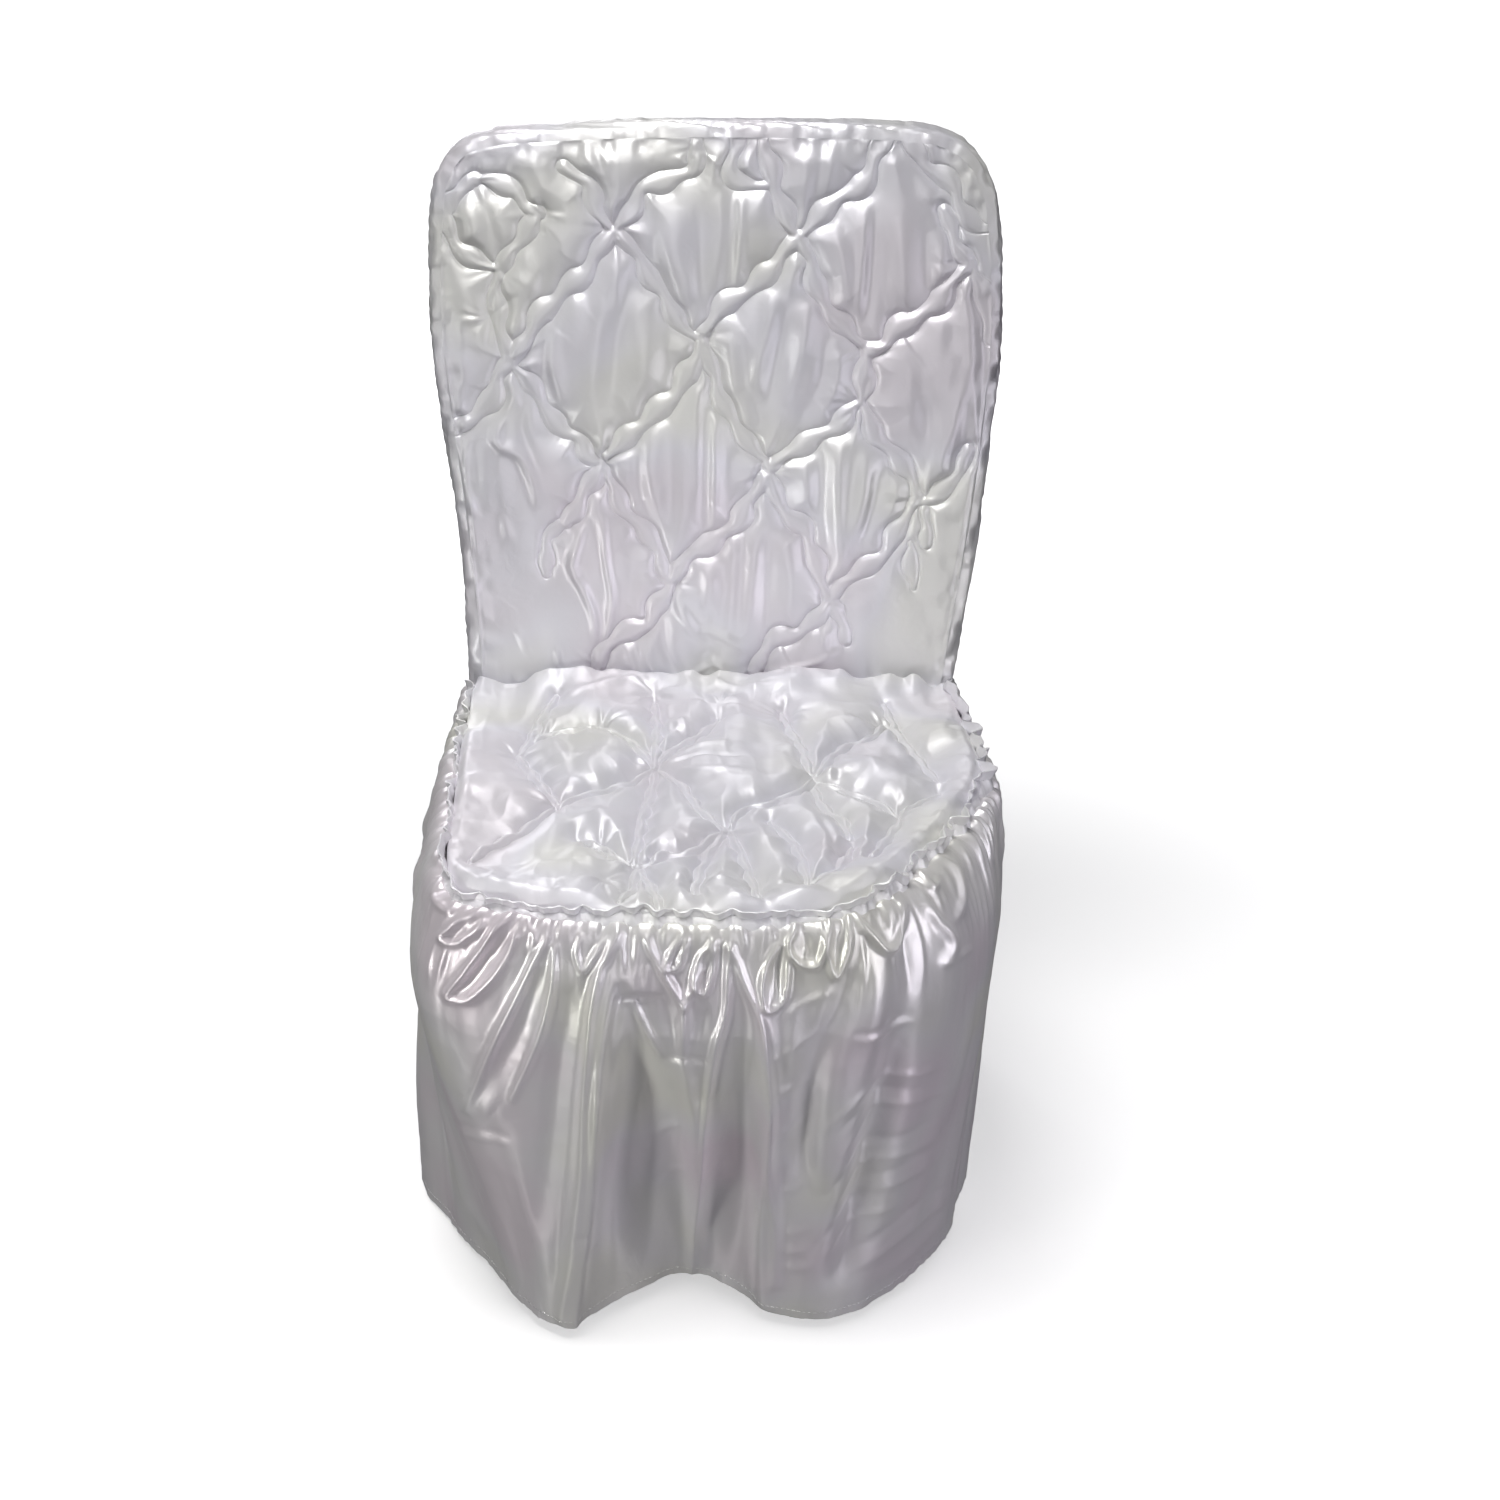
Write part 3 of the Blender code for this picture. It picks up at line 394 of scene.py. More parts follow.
def backSides(rows, columns, outwards):
    # left side, top and right side, so far out from the seam; both sides run upwards
    turns = (0.0, seamShape["cornerLeft"], seamShape["cornerRight"], 1.0)
    lines = []
    for low, high, count in zip(turns[:-1], turns[1:], (rows, columns, rows)):
        line, out = backSeam(count, low, high)
        lines.append(line + outwards * out)
    return lines[0], lines[1], lines[2][::-1]


# Smocking

smocking = {  # how channels, folds and crossings are drawn, on the back and on the seat
    "pathPoints": 40, "pathReach": 0.06, "foldPoints": 14, "foldReach": 0.05, "foldEnds": (0.06, 0.6),
    "bendShare": 0.9, "bendShift": 2.3, "swellShift": 1.7, "breath": 0.14, "breathShift": 0.6,
    "slim": 0.62, "pinch": 0.30, "pinchPower": 8,   # width of the faintest channel, its loss at both ends
    "grooveLeast": 0.35, "foldLeast": 0.25, "roomReach": 0.0035,
    "rays": 9, "rayHeight": (0.5, 1.0), "rayWidth": (0.10, 0.2), "starReach": 2.2, "seed": 100,
    "dimple": 0.0012, "dimpleSteep": 3.2,
}
backSmocking = {
    "columns": 289, "rows": 305, "pixel": 0.00074,   # metres of the back to one pixel of the photograph
    "puff": 0.0052, "puffReach": 0.010,
    "halfWidth": 0.0080, "swell": 0.32, "swellLength": 0.038, "wander": 0.0011,
    "height": 0.0028, "squareness": 1.5, "foldScale": 0.85, "rays": 0.0032,
    "groove": 0.0010, "grooveWidth": 0.0022, "softness": 0.0016,
    "broadSwell": ((0.022, 0.075), 0.0014, 11), "fineSwell": ((0.011, 0.040), 0.0003, 12),
    "crease": ((0.026, 0.034), 0.00030, 13), "creaseLeast": 0.3, "sag": ((0.03, 0.05), 0.0010, 14),
    "seamTop": 0.62, "seamFade": 0.10,               # no seam shows above this height
    "edgeRound": 0.0060, "edgeRoundTop": 0.0130,
    "pipe": 0.0015, "pipeWidth": 0.0011, "pipeUneven": ((0.006, 0.006), 0.5, 16),
    "pull": ((0.0085, 0.012), 0.0015, 15), "pullReach": 0.014, "pullStart": 0.001, "pullRise": 0.003,
}
backChannels = {  # pixels; height factor, path
    "cToA": (1.0, [(512, 362), (528, 337), (544, 312), (567, 290), (588, 270), (600, 250), (612, 234)]),
    "cToL": (1.0, [(509, 361), (498, 380), (490, 403), (475, 418), (456, 429)]),
    "aUpLeft": (0.55, [(608, 230), (598, 212), (586, 184), (563, 168)]),
    "aUpRight": (0.7, [(616, 230), (632, 212), (641, 193), (668, 181), (693, 172), (697, 143)]),
    "aToD": (0.6, [(616, 234), (629, 247), (645, 271), (660, 293), (674, 315), (684, 332), (700, 340)]),
    "nLeft": (0.7, [(474, 181), (463, 188), (452, 200), (442, 215)]),
    "nRight": (0.6, [(474, 181), (495, 183), (512, 192), (525, 207), (539, 214)]),
    "nDown": (0.6, [(539, 214), (528, 230), (513, 252), (499, 270)]),
    "oLeft": (0.7, [(442, 215), (449, 234), (466, 257), (496, 270)]),
    "oToC": (0.6, [(499, 271), (495, 300), (501, 332), (508, 358)]),
    "cToF": (0.65, [(512, 366), (526, 382), (538, 395), (548, 418), (562, 431), (577, 440),
        (589, 460), (602, 466)]),
    "fDownLeft": (0.9, [(601, 470), (590, 486), (579, 506), (566, 524)]),
    "fTail": (0.35, [(560, 527), (548, 540), (546, 576)]),
    "fToI": (0.6, [(605, 472), (616, 496), (629, 519), (646, 533), (658, 555), (664, 573), (670, 585)]),
    "iToP": (1.0, [(671, 588), (658, 608), (648, 624), (634, 632), (616, 640), (604, 652), (598, 668)]),
    "iToG": (1.0, [(671, 582), (682, 566), (698, 552), (716, 542), (736, 526), (750, 503), (765, 480)]),
    "gToH": (0.9, [(770, 468), (785, 458), (802, 447), (824, 436), (842, 424), (853, 411), (862, 403)]),
    "gToD": (0.5, [(768, 464), (754, 452), (738, 430), (722, 404), (712, 372), (703, 343)]),
    "gToJ": (0.7, [(769, 474), (779, 503), (791, 519), (806, 533), (813, 553), (820, 576), (828, 600)]),
    "jToM": (0.8, [(831, 600), (843, 586), (858, 574), (876, 565), (889, 549), (901, 527), (915, 504)]),
    "mToH": (0.7, [(918, 498), (911, 478), (899, 460), (884, 448), (873, 430), (864, 408)]),
    "mRight": (0.6, [(920, 504), (935, 500), (950, 484), (962, 470), (969, 452)]),
    "tToB": (0.9, [(893, 132), (880, 148), (871, 172), (858, 192), (836, 201), (819, 219), (801, 237)]),
    "bToD": (1.0, [(798, 240), (786, 252), (773, 268), (757, 286), (736, 299), (718, 314), (703, 335)]),
    "dToF": (1.1, [(702, 342), (697, 358), (689, 374), (678, 391), (664, 407), (647, 421), (630, 437),
        (606, 458)]),
    "bUpLeft": (0.7, [(795, 237), (786, 216), (778, 196), (771, 172), (765, 150), (764, 128)]),
    "arch": (0.5, [(741, 122), (739, 142), (732, 160), (733, 177), (750, 187), (768, 186)]),
    "bToE": (0.7, [(801, 244), (811, 262), (816, 286), (826, 308), (840, 324), (855, 340), (868, 350)]),
    "eNeck": (0.9, [(867, 350), (865, 378), (862, 405)]),
    "tRight": (0.6, [(901, 132), (914, 148), (926, 166), (943, 178), (956, 192), (962, 212),
        (976, 227), (998, 230)]),
    "tInner": (0.5, [(945, 212), (953, 232), (962, 256), (972, 266)]),
    "kToE": (1.1, [(968, 268), (950, 288), (936, 307), (918, 319), (900, 328), (886, 345), (869, 352)]),
    "kToR": (0.7, [(974, 270), (982, 290), (988, 312), (992, 340)]),
    "jToQ": (0.8, [(828, 606), (815, 622), (801, 633), (778, 640), (763, 656), (755, 676)]),
    "jRight": (0.6, [(833, 604), (841, 620), (846, 642)]),
    "mTickA": (0.4, [(925, 512), (927, 545)]),
    "mTickB": (0.35, [(911, 545), (914, 590)]),
}
backKnots = {  # pixels: crossings, and how far their star of small wrinkles reaches
    "a": (614, 232, 26), "b": (799, 238, 26), "c": (509, 362, 26), "o": (498, 271, 22), "n": (474, 181, 18),
    "d": (702, 339, 22), "e": (867, 350, 22), "h": (862, 406, 26), "f": (603, 466, 26), "g": (767, 470, 26),
    "i": (671, 585, 24), "j": (830, 603, 24), "k": (971, 267, 24), "t": (897, 131, 22), "m": (918, 502, 22),
    "s": (697, 150, 18), "q": (757, 672, 18), "p": (598, 668, 16), "w": (541, 214, 16), "x": (490, 318, 22),
}
backFolds = {  # pixels; ridge or trough: width px, height mm, path
    "centreTrough": (9, -3.6, [(733, 186), (731, 240), (727, 292)]),
    "centreRidge": (5, 2.4, [(741, 190), (740, 240), (736, 290)]),
    "centreLow": (8, -3.4, [(708, 372), (706, 440), (704, 545)]),
    "centreLowRidge": (5, 2.2, [(716, 385), (715, 450), (714, 540)]),
    "rightUpper": (7, 2.6, [(866, 206), (863, 260), (858, 325)]),
    "rightUpperTrough": (7, -2.0, [(875, 215), (872, 270), (868, 320)]),
    "cdLeft": (12, 2.6, [(612, 262), (598, 330), (590, 392)]),
    "cdTrough": (11, -2.6, [(634, 264), (620, 330), (612, 405)]),
    "cdMid": (13, 2.0, [(652, 305), (644, 360), (632, 405)]),
    "cdRightTrough": (9, -2.0, [(668, 330), (662, 380), (650, 402)]),
    "aTop1": (6, 1.6, [(580, 137), (588, 160), (606, 180)]),
    "aTop2": (5, -1.8, [(590, 135), (599, 158), (612, 190)]),
    "aTop3": (5, 1.4, [(602, 138), (607, 170), (614, 205)]),
    "topGather1": (3, -1.6, [(646, 124), (641, 145)]),
    "topGather2": (3, -1.7, [(660, 120), (651, 150)]),
    "topGather3": (3, -1.7, [(674, 118), (664, 148)]),
    "topGather4": (3, -1.5, [(688, 118), (682, 144)]),
    "topGather5": (3, -1.6, [(698, 119), (694, 140)]),
    "topLeft1": (3, -1.6, [(488, 138), (480, 150)]),
    "topLeft2": (3, -1.6, [(498, 134), (494, 150)]),
    "topLeft3": (4, -1.8, [(515, 134), (508, 160), (503, 178)]),
    "adBright": (14, 2.4, [(676, 205), (674, 260), (686, 300)]),
    "adTrough": (10, -2.2, [(655, 215), (652, 250), (664, 285)]),
    "adTrough2": (10, -2.0, [(700, 190), (702, 250), (698, 310)]),
    "bdA": (8, 2.2, [(772, 290), (765, 340), (748, 400)]),
    "bdB": (10, -3.0, [(790, 300), (779, 350), (764, 420)]),
    "bdC": (8, 2.4, [(812, 300), (802, 350), (790, 400)]),
    "bdD": (9, -2.4, [(826, 330), (820, 380), (800, 425)]),
    "bdE": (7, 2.0, [(842, 345), (838, 385), (822, 420)]),
    "dgLeft": (8, 2.2, [(728, 345), (735, 390), (748, 430)]),
    "dgTrough": (8, -2.0, [(743, 345), (752, 395), (764, 435)]),
    "bUp1": (9, 2.4, [(830, 135), (829, 170), (822, 195)]),
    "bUp2": (8, -2.6, [(824, 160), (818, 190), (812, 208)]),
    "bUp3": (9, -2.2, [(875, 120), (868, 150), (866, 170)]),
    "bUp4": (10, 2.0, [(800, 130), (803, 170), (800, 205)]),
    "beA": (8, 2.4, [(832, 215), (843, 260), (848, 305)]),
    "beB": (7, -2.2, [(816, 250), (824, 275), (834, 300)]),
    "tkA": (10, -2.0, [(905, 160), (914, 190), (926, 215)]),
    "tkB": (12, 2.2, [(902, 215), (904, 265), (908, 305)]),
    "tkC": (9, -2.4, [(888, 235), (884, 290), (888, 325)]),
    "tkD": (9, -2.4, [(925, 225), (926, 270), (930, 300)]),
    "tkE": (9, 2.0, [(944, 240), (942, 270), (932, 300)]),
    "kRight": (11, -2.6, [(955, 325), (948, 355)]),
    "kBright": (10, 2.6, [(972, 300), (972, 350), (962, 400), (940, 470)]),
    "kDark": (14, -2.8, [(925, 395), (932, 440)]),
    "hA": (8, 2.4, [(842, 425), (838, 480), (840, 565)]),
    "hB": (9, -2.8, [(824, 452), (822, 510), (828, 560)]),
    "hC": (9, 2.8, [(803, 455), (806, 480), (808, 502)]),
    "hD": (10, -2.4, [(785, 480), (790, 505), (800, 520)]),
    "hE": (10, 2.6, [(866, 450), (862, 500), (850, 545)]),
    "hF": (8, -2.6, [(880, 470), (872, 510), (862, 545)]),
    "hG": (7, 2.8, [(893, 465), (897, 495), (885, 525)]),
    "gA": (10, 2.6, [(757, 525), (752, 580), (748, 630)]),
    "gB": (9, -2.6, [(770, 535), (768, 580), (766, 635)]),
    "gC": (10, 2.4, [(788, 540), (790, 590), (784, 630)]),
    "gD": (8, -2.4, [(727, 560), (724, 600), (722, 640)]),
    "gE": (8, 2.4, [(710, 560), (708, 590), (706, 610)]),
    "gF": (8, -2.0, [(742, 540), (740, 590), (735, 640)]),
    "fRidgeLeft": (6, 4.2, [(585, 508), (578, 545), (572, 566), (584, 590), (594, 615), (596, 655)]),
    "fRidgeRight": (5, 3.2, [(603, 520), (606, 560), (612, 600), (606, 640), (599, 665)]),
    "fHollow": (7, -2.8, [(592, 590), (600, 620), (600, 655)]),
    "fPanel": (12, -1.8, [(635, 540), (632, 585), (622, 625)]),
    "fBright": (11, 2.6, [(652, 430), (650, 470), (658, 520)]),
    "fdTrough": (10, -2.2, [(634, 455), (640, 495), (652, 520)]),
    "fdRidge2": (9, 2.2, [(682, 410), (682, 470), (684, 540)]),
    "cLeaf1": (7, 4.0, [(515, 395), (499, 425), (496, 440), (520, 455), (533, 480), (538, 502)]),
    "cLeaf2": (7, -2.4, [(525, 400), (522, 430), (532, 452)]),
    "cLeft": (12, -2.2, [(505, 290), (500, 310)]),
    "coNeck": (10, 2.0, [(470, 290), (478, 330), (490, 355)]),
    "cdTop": (8, 2.4, [(558, 320), (552, 350), (560, 400)]),
    "cdTop2": (8, -2.4, [(545, 340), (543, 380), (556, 410)]),
    "oFold": (9, 2.0, [(522, 280), (534, 292), (528, 320)]),
    "oFold2": (7, -2.4, [(546, 272), (540, 295), (530, 315)]),
    "nInner": (8, -2.0, [(480, 200), (490, 225), (488, 255)]),
    "nInner2": (9, 2.4, [(470, 205), (474, 235), (480, 250)]),
    "lSeam": (4, 2.6, [(464, 420), (455, 440), (458, 470), (470, 512)]),
    "lTick": (4, 2.0, [(470, 440), (462, 470), (476, 515)]),
    "lTick2": (6, 1.4, [(503, 520), (510, 540)]),
    "lTick3": (5, 1.6, [(518, 632), (528, 655)]),
    "iStar1": (6, 3.0, [(676, 600), (690, 625), (702, 640)]),
    "iStar2": (7, -3.0, [(664, 612), (666, 650), (676, 670)]),
    "iStar3": (7, 3.2, [(648, 640), (650, 665), (660, 676)]),
    "iStar4": (6, 2.4, [(627, 648), (634, 668), (640, 680)]),
    "seatEdge": (4, 3.0, [(605, 690), (650, 684), (690, 674), (712, 664)]),
    "seatEdge2": (4, 2.4, [(752, 676), (790, 668), (822, 660), (836, 652)]),
    "qStar1": (5, 2.6, [(744, 650), (722, 636), (706, 632)]),
    "qStar2": (5, -2.4, [(765, 640), (760, 660)]),
    "qStar3": (6, 2.6, [(700, 650), (722, 668), (745, 684)]),
    "qHollow": (9, -3.0, [(703, 650), (712, 660)]),
    "cornerDark": (3, -2.2, [(508, 689), (522, 686), (536, 690)]),
    "cornerTick": (4, 2.6, [(556, 652), (560, 672)]),
    "rightTick": (4, 2.4, [(826, 650), (824, 630)]),
}
backPlain = (  # x, z, radius: smooth patches in the lower corners
    (-0.168, 0.505, 0.058), (-0.172, 0.425, 0.064), (0.186, 0.450, 0.066), (0.190, 0.420, 0.060),
)


def starOfWrinkles(away, reach, height, seed):
    # wrinkles that meet at a crossing, each in its own direction
    angle = np.arctan2(away[:, 1], away[:, 0])
    rng = np.random.default_rng(seed)
    rays = np.zeros(len(away))
    for _ in range(smocking["rays"]):
        turn = (angle - rng.uniform(-math.pi, math.pi) + math.pi) % (2 * math.pi) - math.pi
        tall = rng.uniform(*smocking["rayHeight"]) * rng.choice([-1, 1])
        rays += tall * bell(turn, rng.uniform(*smocking["rayWidth"]))
    r = np.linalg.norm(away, axis=1) / reach
    return height * rays * r * bell(r, 1.0) - smocking["dimple"] * bell(r * smocking["dimpleSteep"], 1.0)


def smockedField(points, loop, setup, channels, knots, folds, plain, place):
    # Height of the smocked cloth over its plane, with the distance from the nearest stitched line
    # A channel swells and thins along its path; a fold is a soft ridge or trough; a crossing has its star.
    steps = np.linspace(0, 1, smocking["pathPoints"])
    nearest = np.full(len(points), drawing["farOff"])
    tube = np.zeros(len(points))
    for number, (factor, path) in enumerate(channels.values()):
        line = smoothLine(place(path), len(steps))
        turns = runLengths(line)[-1] / setup["swellLength"] * 2 * math.pi
        bends = np.sin(steps * turns / smocking["bendShare"] + smocking["bendShift"] * number)
        line = line + (setup["wander"] * taper(steps, 0.0, 0.5) * bends)[:, None] * sideways(line, 1.0)
        away, share = offLine(points, line, smocking["pathReach"])
        swing = turns * share + smocking["swellShift"] * number
        half = setup["halfWidth"] * (smocking["slim"] + (1 - smocking["slim"]) * factor)
        half = half * (1 + setup["swell"] * np.sin(swing))
        half = half * (1 - smocking["pinch"] * np.cos(math.pi * share) ** smocking["pinchPower"])
        lift = 1 - ease(np.clip(away / half, 0, 1) ** setup["squareness"])
        lift *= 1 - smocking["breath"] + smocking["breath"] * np.sin(swing + smocking["breathShift"])
        nearest = np.minimum(nearest, away - half)
        tube = np.maximum(tube, setup["height"] * factor * lift)
    outside = 0.5 * (nearest + np.sqrt(nearest ** 2 + setup["softness"] ** 2))
    flat = np.ones(len(points))
    for x, z, radius in plain:
        flat *= 1 - bell(np.linalg.norm(points - np.array((x, z)), axis=1), radius)
    height = setup["puff"] * flat * (1 - np.exp(-outside / setup["puffReach"])) + tube
    deep = smocking["grooveLeast"] + (1 - smocking["grooveLeast"]) * flat
    height -= setup["groove"] * bell(nearest, setup["grooveWidth"]) * deep
    room = 1 - np.exp(-outside / smocking["roomReach"])
    strength = smocking["foldLeast"] + (1 - smocking["foldLeast"]) * room
    for wide, tall, path in folds.values():
        line = smoothLine(place(path), smocking["foldPoints"])
        away, share = offLine(points, line, smocking["foldReach"])
        body = bell(away, wide * setup["pixel"]) * taper(share, *smocking["foldEnds"])
        height += drawing["millimetre"] * setup["foldScale"] * tall * body * strength
    for number, (px, py, reach) in enumerate(knots.values()):
        away = points - place([(px, py)])[0]
        reach = reach * setup["pixel"]
        near = np.linalg.norm(away, axis=1) < reach * smocking["starReach"]
        height[near] += starOfWrinkles(away[near], reach, setup["rays"], smocking["seed"] + number)
    edge, _ = offLine(points, loop)
    return height, nearest, flat, room, edge


def backSurface(points, loop):
    setup = backSmocking
    height, nearest, flat, room, edge = smockedField(
        points, loop, setup, backChannels, backKnots, backFolds, backPlain, onBack)
    height += (swells(points, setup["broadSwell"]) + swells(points, setup["fineSwell"])) * flat * room
    creased = setup["creaseLeast"] + (1 - setup["creaseLeast"]) * flat
    height += swells(points, setup["crease"], creases) * creased * room
    height += swells(points, setup["sag"])
    seamless = ease((points[:, 1] - setup["seamTop"]) / setup["seamFade"])
    height = height * ease(edge / (setup["edgeRound"] + setup["edgeRoundTop"] * seamless))
    pipe = setup["pipe"] * bell(edge - setup["pipe"], setup["pipeWidth"]) * (1 - seamless)
    height += pipe * (1 + swells(points, setup["pipeUneven"]))
    pulled = bell(edge, setup["pullReach"]) * ease((edge + setup["pullStart"]) / setup["pullRise"])
    return height + pulled * swells(points, setup["pull"]), nearest


def makeBackPanel():
    setup = backSmocking
    left, top, right = backSides(setup["rows"], setup["columns"], -0.5 * cover["seamGap"])
    bottom = levelLine(left[0, 0], right[0, 0], cover["footZ"], setup["columns"])
    flat = patch(bottom, top, left, right)[::-1]
    points = flat.reshape(-1, 2)
    height, nearest = backSurface(points, loopAround(bottom, top, left, right, every=3))
    outer = np.stack([points[:, 0], backFrontY(points[:, 1]) - height, points[:, 1]], axis=1)
    return clothObject("backPanelFront", outer.reshape(*flat.shape[:2], 3), cover["cloth"], nearest)


# Band between the two panels

bandForm = {
    "columns": 801, "rows": 29, "cloth": 0.00072,
    "section": (  # out from the seam, share of the way back
        (0.0000, 0.00), (0.0036, 0.008), (0.0064, 0.040), (0.0084, 0.11), (0.0093, 0.26),
        (0.0094, 0.50), (0.0084, 0.80), (0.0062, 0.95), (0.0042, 1.00)),
    "puckers": (((0.011, 0.03), 0.0008, 21), ((0.005, 0.05), 0.00056, 22), ((0.06, 0.02), 0.0012, 23)),
    "pleats": ((0.017, 0.08), 0.0030, 24), "pleatLean": 0.3,
    "pleatMiddle": 0.12, "pleatReach": 0.22, "pleatStart": 0.05,
    "ticks": ((0.0085, 0.10), 0.0018, 25), "tickMiddle": 0.01, "tickReach": 0.06,
    "tuck": 0.0004, "depth": 0.05,
}


def makeBand():
    setup = bandForm
    seam, out = backSeam(setup["columns"])
    front = backFrontY(seam[:, 1])
    depth = rearY(seam[:, 1]) - front
    run = runLengths(seam)
    rows = []
    for number, (stand, deep) in enumerate(smoothLine(setup["section"], setup["rows"])):
        places = np.stack([run, np.full(len(run), deep * setup["depth"])], axis=1)
        middle = math.sin(math.pi * number / (setup["rows"] - 1))
        ripple = middle * sum(swells(places, row) for row in setup["puckers"])
        early = bell(deep - setup["pleatMiddle"], setup["pleatReach"]) * ease(deep / setup["pleatStart"])
        ripple += early * swells(places + np.array([setup["pleatLean"] * deep, 0.0]), setup["pleats"])
        away = stand + 0.5 * cover["seamGap"] + ripple - setup["tuck"] * (number == 0)
        place = seam + away[:, None] * out
        ticks = bell(deep - setup["tickMiddle"], setup["tickReach"]) * (number > 0)
        ticks = ticks * swells(places, setup["ticks"])
        rows.append(np.stack([place[:, 0], front + deep * depth + ticks, place[:, 1]], axis=1))
    return clothObject("backBand", np.array(rows)[::-1], setup["cloth"])


# Rear panel

rearForm = {
    "columns": 161, "rows": 301,
    "hemHalf": 0.2365, "sideFade": 0.04,
    "folds": (  # x, width, height at the hem, where it starts
        (-0.165, 0.026, 0.0080, 0.42), (-0.085, 0.022, -0.0060, 0.38), (-0.010, 0.030, 0.0090, 0.46),
        (0.080, 0.024, 0.0070, 0.36), (0.160, 0.022, -0.0060, 0.44),
    ),
    "foldGrowth": 0.8, "crown": 0.0015, "crownReach": 0.08,
    "loose": ((0.030, 0.26), 0.0030, 31), "looseTop": 0.62, "looseFade": 0.4, "looseEdge": 0.03,
    "lean": 0.16, "tautEdge": 0.02,
    "leaning": (((0.042, 0.33), 0.0016, 32), ((0.017, 0.15), 0.0005, 33)),
    "pull": ((0.011, 0.011), 0.0007, 34), "pullReach": 0.018, "pullRise": 0.003,
}


def rearEdgeX(side, z):
    seam, out = backSeam(seamShape["ends"])
    corner = 0 if side < 0 else -1
    top = seam[corner, 0] + cover["rearSeamOut"] * out[corner, 0]
    share = np.clip(1 - z / cover["footZ"], 0.0, 1.0)
    return top + (side * rearForm["hemHalf"] - top) * 0.5 * (share + ease(share))


def makeRearPanel():
    setup = rearForm
    lower = setup["rows"] // 2
    inset = cover["rearSeamOut"] - 0.5 * cover["seamGap"]
    left, top, right = backSides(setup["rows"] - lower, setup["columns"], inset)
    z = np.linspace(0.0, cover["footZ"], lower + 1)[:-1]
    left = np.vstack([np.stack([rearEdgeX(-1, z), z], axis=1), left])
    right = np.vstack([np.stack([rearEdgeX(1, z), z], axis=1), right])
    bottom = levelLine(left[0, 0], right[0, 0], 0.0, setup["columns"])
    flat = patch(bottom, top, left, right)[::-1][:, ::-1]
    points = flat.reshape(-1, 2)
    edge, _ = offLine(points, loopAround(bottom, top, left, right, every=2))
    sideFade = np.clip((setup["hemHalf"] - np.abs(points[:, 0])) / setup["sideFade"], 0.0, 1.0)
    depth = rearY(points[:, 1])
    for x, width, height, start in setup["folds"]:
        grown = np.clip((start - points[:, 1]) / start, 0.0, 1.0) ** setup["foldGrowth"]
        depth = depth + height * grown * sideFade * bell(points[:, 0] - x, width)
    depth = depth + setup["crown"] * np.clip(edge / setup["crownReach"], 0.0, 1.0)
    loose = ease(edge / setup["looseEdge"]) * ease((setup["looseTop"] - points[:, 1]) / setup["looseFade"])
    depth = depth + swells(points, setup["loose"]) * loose
    leaning = points + setup["lean"] * points[:, ::-1]
    for row in setup["leaning"]:
        depth = depth + ease(edge / setup["tautEdge"]) * swells(leaning, row)
    pull = bell(edge, setup["pullReach"]) * ease(edge / setup["pullRise"])
    depth = depth + pull * swells(points, setup["pull"])
    outer = np.stack([points[:, 0], depth, points[:, 1]], axis=1).reshape(*flat.shape[:2], 3)
    return clothObject("backPanelRear", outer, cover["cloth"])


# Seat

seatSmocking = {
    "columns": 305, "rows": 289, "pixel": 0.00082,
    "puff": 0.0115, "puffReach": 0.0085,
    "halfWidth": 0.0044, "swell": 0.22, "swellLength": 0.026, "wander": 0.0010,
    "height": 0.0038, "squareness": 1.3, "foldScale": 1.0, "rays": 0.0052,
    "groove": 0.0014, "grooveWidth": 0.0020, "softness": 0.0012,
    "swells": (  # each with its share on the plain patches
        (((0.024, 0.028), 0.0032, 41), 0.08, softNoise), (((0.012, 0.016), 0.0008, 42), 0.10, softNoise),
        (((0.028, 0.032), 0.0009, 43), 0.2, creases)),
    "pull": ((0.009, 0.009), 0.0014, 44), "pullReach": 0.016, "pullRise": 0.002, "edgeRound": 0.009,
    "crown": 0.005, "crownReach": 0.12,
    "rim": 0.0090, "rimRise": 0.0022, "rimLoss": 0.6, "rimReach": 0.05,
    "rearUneven": (((0.034, 0.2), 0.75, 45), ((0.013, 0.2), 0.45, 46)), "rearReach": 0.035,
    "overhang": 0.0030, "overhangRise": 0.0015, "overhangFrom": 0.002, "overhangFade": 0.010,
    "overhangClear": 0.006, "overhangRear": 0.02,
    "cornerLeft": 7.6, "cornerRight": 15.6,   # rows of the skirt's run where the sides turn into the front
    "setback": 0.0011, "around": 0.02,
}
